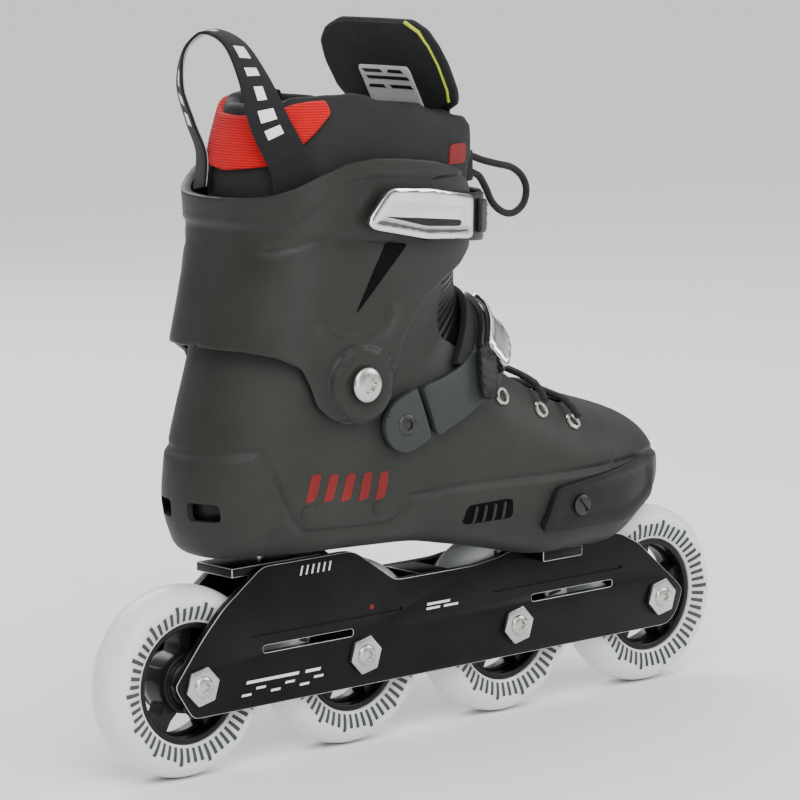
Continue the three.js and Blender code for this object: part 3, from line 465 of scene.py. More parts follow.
def urethane(name):
    """Cast urethane: cloudy white, lit from within."""
    n = Nodes(name)
    n.put(n.shader.inputs["Base Color"], n.blend(n.noise(30, 3.0), rgba((0.62, 0.65, 0.68)),
                                                 rgba((0.76, 0.78, 0.80))))
    n.put(n.shader.inputs["Roughness"], n.spread(n.noise(160, 3.0), 0.25, 0.42))
    n.put(n.shader.inputs["Subsurface Weight"], 0.7)
    n.put(n.shader.inputs["Subsurface Radius"], (0.9, 0.95, 1.0))
    n.put(n.shader.inputs["Subsurface Scale"], 0.006)
    n.put(n.shader.inputs["Coat Weight"], 0.25)
    n.bump(n.noise(500, 2.0), 0.15, 0.03)
    return n.material


SHELL = finish("shell_plastic", (0.018, 0.0195, 0.0165), (0.029, 0.031, 0.027), (0.42, 0.58), 1300, 0.16)
CUFF = finish("cuff_plastic", (0.018, 0.0195, 0.0165), (0.027, 0.0285, 0.025), (0.34, 0.48), 1100, 0.06)
ARM = finish("arm_plastic", (0.024, 0.029, 0.028), (0.035, 0.041, 0.040), (0.45, 0.6), 1200, 0.1)
BLACK = finish("black_plastic", (0.006, 0.006, 0.007), (0.016, 0.016, 0.017), (0.32, 0.5), 900, 0.06)
CORE = finish("core_plastic", (0.004, 0.004, 0.005), (0.012, 0.012, 0.013), (0.2, 0.36), 700, 0.04)
RUBBER = finish("slider_plastic", (0.006, 0.006, 0.006), (0.014, 0.014, 0.014), (0.4, 0.58), 1000, 0.1)
# Near-black with little gloss: painted shade, laid as sheets in the window wells and the cuff's slits.
PAINTED_SHADE = finish("vent_shadow", (0.001, 0.001, 0.001), (0.003, 0.003, 0.003), (0.85, 0.98), 500, 0.05,
              Specular_IOR_Level=0.1)
ANODISED = finish("black_anodised", (0.006, 0.006, 0.007), (0.013, 0.013, 0.014), (0.3, 0.44), 1600, 0.03,
                  metal=0.55)
EDGE = brushed("bare_aluminium", (0.42, 0.42, 0.42), (0.62, 0.62, 0.61), (0.25, 0.45), (1, 1, 12))
CHROME = finish("chrome", (0.58, 0.59, 0.60), (0.78, 0.79, 0.80), (0.04, 0.12), 300, 0.01, metal=1.0)
STEEL = brushed("steel", (0.42, 0.42, 0.40), (0.66, 0.65, 0.62), (0.2, 0.38), (1, 1, 1))
DARK_STEEL = brushed("dark_steel", (0.03, 0.03, 0.03), (0.08, 0.08, 0.08), (0.3, 0.5), (1, 1, 1))
TYRE = urethane("urethane")
PRINT_GREY = finish("grey_print", (0.035, 0.037, 0.04), (0.07, 0.073, 0.076), (0.45, 0.6), 600, 0.02)
PRINT_WHITE = finish("white_print", (0.70, 0.70, 0.70), (0.85, 0.85, 0.85), (0.5, 0.65), 700, 0.02)
PRINT_RED = finish("red_print", (0.13, 0.010, 0.010), (0.20, 0.016, 0.015), (0.5, 0.65), 1300, 0.05)
LEATHER = leather("liner_leather", (0.005, 0.005, 0.006), (0.012, 0.012, 0.013), (0.28, 0.42), 700, 0.1)
NEOPRENE = leather("collar_neoprene", (0.009, 0.009, 0.010), (0.02, 0.02, 0.021), (0.55, 0.75), 1500, 0.07)
LINING = woven("inner_lining", (0.008, 0.008, 0.009), (0.03, 0.03, 0.032), (0.75, 0.95), 700, 0.12)
TONGUE = woven("tongue_cloth", (0.006, 0.006, 0.007), (0.022, 0.022, 0.024), (0.7, 0.9), 900, 0.1)
TAPE = woven("webbing", (0.004, 0.004, 0.005), (0.018, 0.018, 0.02), (0.65, 0.85), 800, 0.12)
LILAC = woven("webbing_back", (0.36, 0.33, 0.38), (0.62, 0.58, 0.64), (0.65, 0.85), 800, 0.12)
CORD = woven("cord_braid", (0.004, 0.004, 0.005), (0.025, 0.025, 0.026), (0.5, 0.7), 1100, 0.2,
             (0.6, 0.5, 0.7))
RED = ribbed("red_ribs", (0.34, 0.001, 0.003), (0.62, 0.002, 0.006), 260, 0.35)
PIPING = woven("yellow_piping", (0.42, 0.50, 0.02), (0.62, 0.72, 0.05), (0.6, 0.8), 1200, 0.1)
LABEL = woven("label_cloth", (0.60, 0.60, 0.60), (0.80, 0.80, 0.80), (0.6, 0.8), 1500, 0.04)

# ---- Boot surface -------------------------------------------------------------------------

# Each section of the boot runs from the instep or shin to the sole, heel or calf:
# start x, z; end x, z; half width; how square it is at each end (2 is an ellipse).
TOE_TIP = [[146.0, 113.2, 146.6, 111.6, 0.4, 2, 2], [145.9, 116.6, 146.8, 108.4, 5, 2, 2]]
SECTIONS = np.array(TOE_TIP + [
    [145.5, 119, 147, 106, 9, 2, 2], [144, 125.5, 146, 101.5, 17, 2, 2.2],
    [140.5, 131.5, 141.5, 98, 25, 2, 2.4], [134.5, 137.5, 133.5, 95.5, 32.5, 2, 2.8],
    [125, 142.5, 122, 92, 39.5, 2, 3], [111, 147.5, 108, 86, 45, 2.1, 3.5],
    [95.5, 152.2, 92, 82, 49, 2.1, 4], [78, 157.5, 72, 82, 50.5, 2.1, 4],
    [62, 164.3, 50, 82, 50, 2.1, 4], [48, 174, 26, 87.5, 48.5, 2.1, 4],
    [36, 184, 3, 92.5, 47, 2.1, 4], [27, 193.5, -24, 97.5, 46, 2.2, 4],
    [21, 202, -54, 99, 45.2, 2.2, 4], [17.5, 208.5, -84, 100, 44.6, 2.2, 4],
    [15.5, 213, -110, 100.5, 44.2, 2.2, 3], [14.3, 216, -131, 102.3, 44, 2.2, 2.6],
    [13.6, 218, -138, 111, 44, 2.2, 2.4], [13, 220, -141.5, 123, 44.2, 2.2, 2.3],
    [12.6, 221.5, -141, 138, 44.5, 2.2, 2.2], [12.3, 223, -138.5, 150, 44.8, 2.2, 2.2],
    [12, 224.5, -133.5, 166, 45, 2.2, 2.2], [12, 226, -128.5, 181, 45, 2.2, 2.2],
    [12, 227.5, -125, 193, 45, 2.2, 2.2], [12, 229, -122.6, 205, 45, 2.2, 2.2],
])
LAST_SECTION = len(SECTIONS) - 1
SECTION_PITCH = 12.0  # millimetres of outline plane for one section
GIRTH = 45.0  # millimetres of outline plane for one radian round a section
RIDGE_ANGLE = 0.12  # where pieces over the instep meet


def toe_shift(x):
    """How far the toe leans to the inner side."""
    return 8 * np.clip((x - 30) / 117, 0, None) ** 2


def boot_surface(s, angle, out=0.0, table=SECTIONS):
    """Points of the boot's surface at section s, angle round from the instep, moved out."""
    x0, z0, x1, z1, half, square0, square1 = np.moveaxis(spline(table, s), -1, 0)
    length = np.hypot(x1 - x0, z1 - z0)
    ux, uz = (x1 - x0) / length, (z1 - z0) / length
    along = -np.cos(angle)
    square = np.where(along < 0, square0, square1)
    bulge = np.clip(1 - np.abs(along) ** square, 0, 1) ** (1 / square)
    reach = (length / 2 + out) * along
    x = (x0 + x1) / 2 + ux * reach
    z = (z0 + z1) / 2 + uz * reach
    y = np.sign(np.sin(angle)) * (half + out) * bulge + toe_shift(x)
    return np.stack([x, y, z], -1)


FINE_SECTIONS = np.linspace(0, LAST_SECTION, 26 * 20)
FINE_TABLE = spline(SECTIONS, FINE_SECTIONS)


def locate(points, out=0.0):
    """Section and angle of side-view points (x, z) on the surface moved out."""
    p = np.asarray(points, float)[:, None, :]
    start, end = FINE_TABLE[None, :, 0:2], FINE_TABLE[None, :, 2:4]
    d = end - start
    side = d[..., 0] * (p[..., 1] - start[..., 1]) - d[..., 1] * (p[..., 0] - start[..., 0])
    flips = np.sign(side[:, :-1]) != np.sign(side[:, 1:])
    k = np.where(flips.any(1), flips.argmax(1), np.abs(side[:, :-1]).argmin(1))
    rows = np.arange(len(k))
    s0, s1 = side[rows, k], side[rows, k + 1]
    t = np.clip(s0 / np.where(s0 == s1, 1, s0 - s1), 0, 1)
    s = FINE_SECTIONS[k] + t * (FINE_SECTIONS[1] - FINE_SECTIONS[0])
    row = spline(SECTIONS, s)
    length = np.hypot(row[:, 2] - row[:, 0], row[:, 3] - row[:, 1])
    centre = (row[:, 0:2] + row[:, 2:4]) / 2
    unit = (row[:, 2:4] - row[:, 0:2]) / length[:, None]
    along = np.sum((np.asarray(points, float) - centre) * unit, 1) / (length / 2 + out)
    return s, np.arccos(np.clip(-along, -1, 1))


def boot_outline(points, out=0.0, ridge=RIDGE_ANGLE):
    """A side-view outline in the plane that on_boot() wraps round the boot."""
    s, angle = locate(resampled(points, 2.0), out)
    return np.stack([s * SECTION_PITCH, np.maximum(angle, ridge) * GIRTH], 1)


def on_boot(side):
    """A placer for conform(): plane points (section, girth) on one side of the boot."""
    def place(points, heights):
        return boot_surface(points[:, 0] / SECTION_PITCH, side * points[:, 1] / GIRTH, heights)
    return place


def boot_spot(x, z, side, out=0.0):
    """The point of the boot above side-view point (x, z), and the surface's normal there."""
    s, angle = locate([(x, z)], out)
    point = boot_surface(s, side * angle, out)[0]
    du = boot_surface(s + 0.05, side * angle, out)[0] - point
    dv = boot_surface(s, side * (angle + 0.02), out)[0] - point
    normal = np.cross(du, dv)
    normal /= np.linalg.norm(normal)
    return point, normal if normal[1] * side > 0 else -normal


# ---- Cuff surface -------------------------------------------------------------------------

# Level rings: height, back x, front x, half width.
CUFF_RINGS = np.array([
    [150, -135, 30, 49], [170, -133.5, 30, 50], [185, -132, 28, 50.5], [200, -130.5, 26, 50.5],
    [215, -126.5, 25, 50], [230, -122.5, 24, 50], [245, -119.5, 24, 50.5], [257, -118, 24, 51],
    [266, -118.5, 24, 51.3], [292, -120, 24, 51.5],
], float)
COLLAR_RINGS = np.array([
    [205, -115, 21.5, 45.8], [245, -113, 21.5, 46], [262, -112.5, 22, 46.2], [275, -111.5, 25, 46.6],
    [292, -107, 26, 46], [304, -103, 21, 43.5], [316, -98, 14, 40],
], float)
TURN = 60.0  # millimetres of outline plane for one radian round from the back


def ring_surface(table, angle, z, out=0.0, squares=(2.3, 2.7)):
    """A point of a level-ring surface; angle runs from the back (0) to the front (pi)."""
    z = np.asarray(z, float)
    back, front, half = [np.interp(z, table[:, 0], table[:, k]) for k in (1, 2, 3)]
    along = np.cos(angle)
    square = np.where(along < 0, squares[0], squares[1])
    bulge = np.clip(1 - np.abs(along) ** square, 0, 1) ** (1 / square)
    x = (front + back) / 2 - ((front - back) / 2 + out) * along
    y = np.sign(np.sin(angle)) * (half + out) * bulge
    return np.stack([x, y, z + np.zeros_like(x)], -1)


def on_cuff(points, heights):
    """Plane points (turn, z): a positive turn is the left side, a negative one the right."""
    return ring_surface(CUFF_RINGS, points[:, 0] / TURN, points[:, 1], heights)


def cuff_turn(x, z, out=0.0, table=CUFF_RINGS):
    """The turn, in plane millimetres, at which the ring at height z reaches x."""
    back, front = [np.interp(z, table[:, 0], table[:, k]) for k in (1, 2)]
    along = ((front + back) / 2 - x) / ((front - back) / 2 + out)
    return TURN * math.acos(min(1, max(-1, along)))


def cuff_outline(points, side=RIGHT, out=0.0):
    """A side-view outline in the unrolled plane of one side of the cuff."""
    return [(side * cuff_turn(x, z, out), z) for x, z in points]

# ---- Camera, light and floor --------------------------------------------------------------


CAMERA_ANGLES = (-40.367, 8.904, -0.974)  # azimuth, elevation and roll in degrees
CAMERA_TARGET = (0, 0, 150)
CAMERA_DISTANCE = 1907.08
FLOOR_REACH = 40000  # far enough for the floor to fill the view behind the skate


def add_camera():
    """The photograph's camera."""
    azimuth, elevation, roll = (math.radians(d) for d in CAMERA_ANGLES)
    back = np.array([math.sin(azimuth) * math.cos(elevation),
                     -math.cos(azimuth) * math.cos(elevation), math.sin(elevation)])
    right = np.array([math.cos(azimuth), math.sin(azimuth), 0])
    up = np.cross(back, right)
    rolled_right = right * math.cos(roll) + up * math.sin(roll)
    rolled_up = up * math.cos(roll) - right * math.sin(roll)
    place = np.array(CAMERA_TARGET) + back * CAMERA_DISTANCE
    data = bpy.data.cameras.new("camera")
    data.lens = 178.9
    data.sensor_width = 36
    data.shift_x = -0.018
    data.shift_y = 0.0243
    camera = bpy.data.objects.new("camera", data)
    bpy.context.scene.collection.objects.link(camera)
    camera.matrix_world = Matrix((
        (rolled_right[0], rolled_up[0], back[0], place[0] * MM),
        (rolled_right[1], rolled_up[1], back[1], place[1] * MM),
        (rolled_right[2], rolled_up[2], back[2], place[2] * MM),
        (0, 0, 0, 1),
    ))
    bpy.context.scene.camera = camera


def add_light(name, place, target, size, power):
    """A square soft light aimed at target, in metres."""
    data = bpy.data.lights.new(name, "AREA")
    data.size = size
    data.energy = power
    light = bpy.data.objects.new(name, data)
    light.location = place
    light.rotation_euler = (Vector(place) - Vector(target)).to_track_quat("Z", "Y").to_euler()
    bpy.context.scene.collection.objects.link(light)


def add_surroundings():
    """A pale room that is darker towards the floor, four soft lights and a plain floor."""
    world = bpy.data.worlds.new("studio")
    world.use_nodes = True
    tree = world.node_tree
    background = tree.nodes["Background"]
    background.inputs[1].default_value = 1.15
    where = tree.nodes.new("ShaderNodeTexCoord")
    height = tree.nodes.new("ShaderNodeSeparateXYZ")
    shade = tree.nodes.new("ShaderNodeMapRange")
    tree.links.new(where.outputs["Generated"], height.inputs[0])
    tree.links.new(height.outputs[2], shade.inputs["Value"])
    shade.inputs["From Min"].default_value = -0.05
    shade.inputs["From Max"].default_value = 0.9
    shade.inputs["To Min"].default_value = 0.08
    shade.inputs["To Max"].default_value = 1.25
    tree.links.new(shade.outputs[0], background.inputs[0])
    bpy.context.scene.world = world
    middle = (0, 0, 0.15)
    add_light("key", (-0.9, -1.2, 1.5), middle, 1.1, 26)
    add_light("front", (1.3, -1.0, 0.9), middle, 0.9, 12)
    add_light("rim", (0.3, 1.4, 1.2), middle, 1.0, 14)
    add_light("low", (-0.5, -1.7, 0.35), (0, 0, 0.08), 0.8, 6)
    corners = [(x * FLOOR_REACH, y * FLOOR_REACH, 0) for x, y in ((-1, -1), (1, -1), (1, 1), (-1, 1))]
    floor = make("floor", corners, [(0, 1, 2, 3)])
    painted(floor, finish("floor", (0.86, 0.86, 0.86), (0.89, 0.89, 0.89), (0.6, 0.75), 300, 0.02))


add_camera()
add_surroundings()

# ---- Materials of the CAD nodes that stay -------------------------------------------------

CAD_MATERIALS = {
    "shell_plastic": SHELL, "arm_plastic": ARM, "black_plastic": BLACK, "core_plastic": CORE,
    "chrome": CHROME, "steel": STEEL, "black_anodised": ANODISED, "liner_leather": LEATHER,
    "liner_cloth": LINING, "webbing": TAPE, "urethane": TYRE,
}
NODE_MATERIALS = {"shell_lace": CORD, "insole": LINING}
for node_name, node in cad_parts.items():
    cad_slot = node.data.materials[0].name.split(".")[0]
    painted(node, NODE_MATERIALS.get(node_name, CAD_MATERIALS[cad_slot]))

# ---- Wheels -------------------------------------------------------------------------------

WHEEL_X = {1: -145.5, 2: -48.5, 3: 48.5, 4: 145.5}
AXLE_HEIGHT = 45
TYRE_SIDE = [(28.6, 9.5), (31, 10.4), (34, 11.4), (36.5, 11.9), (39, 11.6), (41.5, 10.1),
             (43.4, 7.6), (44.5, 4.6), (44.95, 1.8), (45, 0)]
TYRE_MARKS = 56
MARK_STEPS = 7


def tyre(centre):
    """One tyre, turned from its side profile."""
    profile = curve_points(TYRE_SIDE, 26)
    side = [(r, -y) for r, y in profile]
    other = [(r, y) for r, y in profile[::-1]][1:]
    return painted(lathe("tyre", side + other, 128, centre, closed=True), TYRE)


def tyre_side(radius):
    """How far from its middle plane the tyre's side is at this radius."""
    table = np.array(TYRE_SIDE)
    return np.interp(radius, table[:, 0], table[:, 1])


def tyre_marks(centre, side):
    """Short radial bars of print round the tyre's side."""
    verts, faces = [], []
    for k in range(TYRE_MARKS):
        turn = 2 * math.pi * k / TYRE_MARKS
        long = 36.4 if k % 4 else 38.2
        for radius in np.linspace(29.8, long, MARK_STEPS):
            width = 0.055 * radius
            y = side * (tyre_side(radius) + 0.14)
            for w in (-width / 2, width / 2):
                a = turn + w / radius
                verts.append((centre[0] + radius * math.cos(a), centre[1] + y,
                              centre[2] + radius * math.sin(a)))
        base = len(verts) - 2 * MARK_STEPS
        pairs = range(base, base + 2 * MARK_STEPS - 2, 2)
        faces += [(i, i + 1, i + 3, i + 2) for i in pairs]
    return painted(make("tyre_marks", verts, faces), PRINT_GREY)


def wheel_core(centre):
    """The core's ring and lip, its hub and five waisted spokes."""
    x, y, z = centre
    parts = [
        lathe("ring", rounded([(25.4, -9), (28.5, -9), (28.5, 9), (25.4, 9)], 1, 3), 96, centre, True),
        lathe("lip", rounded([(23.9, -1), (26, -1), (26, 1), (23.9, 1)], 0.5, 2), 96, centre, True),
        lathe("hub", rounded([(11.1, -8.6), (14, -8.6), (14.6, -5), (14.6, 5), (14, 8.6), (11.1, 8.6)],
                             0.6, 3), 64, centre, True),
    ]
    for k in range(5):
        turn = 2 * math.pi * k / 5 + 0.3
        spoke = rounded([(13, -4.4), (19, -3), (26, -4.2), (26, 4.2), (19, 3), (13, 4.4)], 1.5, 3)
        outline = [(x + r * math.cos(turn) - t * math.sin(turn), z + r * math.sin(turn) + t * math.cos(turn))
                   for r, t in spoke]
        parts.append(bevel(plate("spoke", outline, -5.5, 5.5), 1.2, 3))
    return painted(joined("wheel_core", parts), CORE)


def bearing(centre, side):
    """Races and shield, facing out on one side."""
    y0, y1 = sorted((side * 5.1, side * 12.0))
    face = side * 12.0
    inner = sorted((face - side * 0.5, face))
    parts = [
        lathe("outer", rounded([(9.5, y0), (10.9, y0), (10.9, y1), (9.5, y1)], 0.4, 2), 64, centre, True),
        lathe("inner", rounded([(4.1, y0), (5.9, y0), (5.9, y1), (4.1, y1)], 0.4, 2), 48, centre, True),
    ]
    races = painted(joined("races", parts), STEEL)
    shield = lathe("shield", rounded([(5.9, inner[0] - side * 0.4), (9.5, inner[0] - side * 0.4),
                                      (9.5, inner[1] - side * 0.5), (5.9, inner[1] - side * 0.5)],
                                     0.1, 2), 64, centre, True)
    painted(shield, DARK_STEEL)
    return joined("bearing", [races, shield])


def star(cx, cz, outer, inner, points=6, steps=8):
    """The outline of a lobed socket."""
    out = []
    for k in range(points * steps):
        a = 2 * math.pi * k / (points * steps)
        r = (outer + inner) / 2 + (outer - inner) / 2 * math.cos(points * a)
        out.append((cx + r * math.cos(a), cz + r * math.sin(a)))
    return out


def torx_button(name, cx, cz, y, side, radius, rise):
    """A domed round head with a six-lobed socket, standing out from y."""
    steps = np.linspace(0, math.pi / 2, 7)
    dome = [(radius * math.cos(a) ** 0.6, side * rise * math.sin(a)) for a in steps[:-1]]
    profile = [(radius, -side * 0.8)] + dome + [(0.01, side * rise)]
    head = lathe(name, profile, 48, (cx, y, cz))
    reach = sorted((y + side * (rise - 1.4), y + side * (rise + 3)))
    socket = plate("socket", star(cx, cz, 0.52 * radius, 0.38 * radius), *reach)
    return painted(cut(head, socket), STEEL)


def axle(centre):
    """Hexagonal head with its button, the pin, and the cap on the inner side."""
    x, _, z = centre
    turn = math.radians(12)
    hexagon = [(x + 9.6 * math.cos(turn + k * math.pi / 3), z + 9.6 * math.sin(turn + k * math.pi / 3))
               for k in range(6)]
    head = painted(bevel(plate("hex", rounded(hexagon, 0.6, 2), -19.6, -17.3), 0.5), STEEL)
    button = torx_button("button", x, z, -19.5, RIGHT, 5.3, 1.8)
    pin = painted(lathe("pin", [(0.01, -17.4), (3.8, -17.4), (3.8, 18.6), (0.01, 18.6)], 32, centre), STEEL)
    cap_profile = rounded([(0.01, 17.2), (6.4, 17.2), (6.4, 19.0), (0.01, 19.0)], 0.5, 2)
    cap = painted(lathe("cap", cap_profile, 48, centre, closed=True), DARK_STEEL)
    return joined("axle_set", [head, button, pin, cap])


for number, wheel_x in WHEEL_X.items():
    hub = (wheel_x, 0, AXLE_HEIGHT)
    body = f"wheel_{number}"
    placed(tyre(hub), body, [f"{body}_tyre"]).name = f"tyre_{number}"
    for mark_side, mark_word in ((RIGHT, "right"), (LEFT, "left")):
        placed(tyre_marks(hub, mark_side), body).name = f"tyre_marks_{number}_{mark_word}"
        placed(bearing(hub, mark_side), body,
               [f"{body}_bearing_{mark_word}"]).name = f"bearing_{number}_{mark_word}"
    placed(wheel_core(hub), body, [f"{body}_core"]).name = f"core_{number}"
    placed(axle(hub), "boot", [f"{body}_axle"]).name = f"axle_{number}"

# ---- Frame --------------------------------------------------------------------------------

REAR, FRONT = -145.5, 145.5
FRAME_SIDE = [
    (REAR - 4.5, 30), (FRONT + 5.5, 30), (FRONT + 11.5, 35), (FRONT + 16.5, 46), (FRONT + 13.5, 50),
    (FRONT + 5.5, 57), (FRONT - 13.5, 74), (FRONT - 26.5, 81), (FRONT - 32.5, 81.7), (44, 81.7),
    (38, 80), (22, 78), (-28, 78), (-51, 94), (-56, 95.5), (REAR + 37.5, 95.5), (REAR + 14.5, 79),
    (REAR + 3.5, 68), (REAR - 2.5, 61), (REAR - 11.5, 50), (REAR - 14.5, 46),
]


def slot_outline(x0, x1, z0, z1):
    """A slot with round ends."""
    return rounded([(x0, z0), (x1, z0), (x1, z1), (x0, z1)], (z1 - z0) / 2, 5)


def frame_wall(side):
    """One side wall, with slots through it and grooves in its face."""
    y0, y1 = sorted((side * 13.0, side * 17.0))
    wall = plate("wall", rounded(FRAME_SIDE, 4, 4), y0, y1)
    outside = sorted((side * 16.3, side * 19))
    wall = cut(
        wall,
        plate("slot", slot_outline(-108.5, -54.5, 54.8, 58.2), -25, 25),
        plate("slot", slot_outline(59, 113, 54.8, 58.2), -25, 25),
    )
    bevel(painted(wall, ANODISED, EDGE), 0.4, 2, 35, material=1)
    return cut(
        wall,
        plate("groove", slot_outline(-115.5, -24, 63, 64.6), *outside),
        plate("groove", slot_outline(34, 119.5, 63, 64.6), *outside),
    )


def frame_piece():
    """Both walls, the three decks between them and the lugs of the front bolts."""
    parts = [frame_wall(RIGHT), frame_wall(LEFT)]
    for x0, x1, z0, z1 in ((-123, -71, 91.5, 95.9), (-9, 9, 73.5, 77.9), (85, 112, 77.2, 81.6)):
        deck = block("deck", x0, x1, -13.4, 13.4, z0, z1)
        parts.append(bevel(painted(deck, ANODISED, EDGE), 0.35, 2, 35, material=1))
    for side in (RIGHT, LEFT):
        y0, y1 = sorted((side * 16.5, side * 28))
        lug = plate("lug", rounded([(57, 76.2), (83, 76.2), (83, 81.6), (57, 81.6)], 1.2), y0, y1)
        parts.append(bevel(painted(lug, ANODISED, EDGE), 0.35, 2, 35, material=1))
    return joined("skate_frame", parts)


placed(frame_piece(), "boot", ["frame"])


def frame_print(name, side, bars, material):
    """Slanted bars of print on a frame wall: each is (x, z, width, height, lean)."""
    verts, faces = [], []
    y = side * 17.06
    for x, z, width, height, lean in bars:
        base = len(verts)
        verts += [(x, y, z), (x + width, y, z), (x + width + lean, y, z + height), (x + lean, y, z + height)]
        faces.append((base, base + 1, base + 2, base + 3))
    return placed(painted(make(name, verts, faces), material), "boot")


for print_side, print_word in ((RIGHT, "right"), (LEFT, "left")):
    ticks = [(-86 + 3.4 * k, 88.2, 1.0, 4.4, 1.2) for k in range(6)]
    ticks += [(67 + 3.2 * k, 75.4, 0.9, 3.8, 1.0) for k in range(5)]
    ticks += [(-9, 60.5, 8.5, 1.1, 0.3), (-8.6, 62.6, 14.5, 1.2, 0.3), (2, 60.5, 9, 1.1, 0.3)]
    ticks += [(-122 + 8.6 * k, 36 + (k % 2) * 2.4, 5.6, 1.1, 0.4) for k in range(6)]
    ticks += [(-119, 41.6, 31, 1.4, 0.5), (-84, 41.6, 9, 1.4, 0.5)]
    frame_print(f"frame_print_{print_word}", print_side, ticks, PRINT_WHITE)
    frame_print(f"frame_dot_{print_word}", print_side, [(-44, 66, 2.2, 2.2, 0)], PRINT_RED)

# ---- Boot shell ---------------------------------------------------------------------------

THROAT = np.array([[-200, 33], [-40, 33], [-14, 36], [0, 37], [18, 36], [44, 33], [66, 31], [80, 24],
                   [86, 14], [88, 0], [400, 0]], float)
BASE_BAND = [(-160, 148.5), (-135, 148.5), (-122, 150), (-120, 146), (-108, 119), (-98, 110),
             (-52, 109), (-48, 111), (-41, 121), (-10, 122.5), (60, 121.5), (120, 122), (170, 119)]
SHELL_ROWS, SHELL_COLUMNS = 250, 230
HEEL_VENTS = [(6, 22), (-22, -6)]


def throat_angle(s):
    """The angle at which section s leaves the throat opening."""
    trial = np.linspace(0.001, 1.6, 240)
    points = boot_surface(np.full_like(trial, s), trial)
    beyond = np.abs(points[:, 1] - toe_shift(points[:, 0])) >= np.interp(
        points[:, 0], THROAT[:, 0], THROAT[:, 1])
    beyond |= points[:, 2] < 135
    return trial[int(beyond.argmax())] if not beyond[0] else 0.0


def shell_relief(points):
    """A raised base band with a groove above it."""
    flat = np.stack([points[..., 0].ravel(), points[..., 2].ravel()], 1)
    line = np.array(BASE_BAND, float)
    edge = np.interp(flat[:, 0], line[:, 0], line[:, 1])
    distance = line_distance(flat, line) * np.where(flat[:, 1] < edge, 1, -1)
    band = 1.3 * step_up(distance, 1.8)
    groove = -0.9 * np.exp(-((distance + 2.2) / 1.1) ** 2)
    return (band + groove).reshape(points.shape[:-1])


def boot_shell():
    """The shell's skin from the throat's edge round, with its wall and heel vents."""
    rows = []
    for s in np.linspace(0, LAST_SECTION, SHELL_ROWS):
        start = throat_angle(s)
        turns = np.linspace(start, 2 * math.pi - start, SHELL_COLUMNS)
        where = np.full(SHELL_COLUMNS, s)
        relief = shell_relief(boot_surface(where, turns))
        rows.append(boot_surface(where, turns, relief))
    faces = grid_faces(SHELL_ROWS, SHELL_COLUMNS)
    shell = settle(make("boot_shell_skin", np.concatenate(rows), faces), merge=0.05)
    thicken(shell, 3.3)
    cutters = [block("vent", -170, -125, y0, y1, 120, 128.5, 2.0) for y0, y1 in HEEL_VENTS]
    return painted(cut(shell, *cutters), SHELL)


placed(boot_shell(), "boot", ["boot_shell"], angle=42)

# ---- Screws, eyelets and print on the boot ------------------------------------------------


def aimed(obj, point, normal):
    """Turns a piece made at the origin along +Y to stand on point along normal."""
    turn = Vector((0, 1, 0)).rotation_difference(Vector(normal)).to_matrix().to_4x4()
    obj.data.transform(Matrix.Translation(Vector([float(c) * MM for c in point])) @ turn)
    return obj


def slotted_head(name, radius, rise, material):
    """A screw head with one groove."""
    head = lathe(name, [(radius, -1.5), (radius, rise * 0.6), (radius - 0.7, rise), (0.01, rise)], 40)
    groove = block("groove", -radius * 0.8, radius * 0.8, rise - 0.8, rise + 2, -0.8, 0.8)
    return painted(cut(head, groove), material)


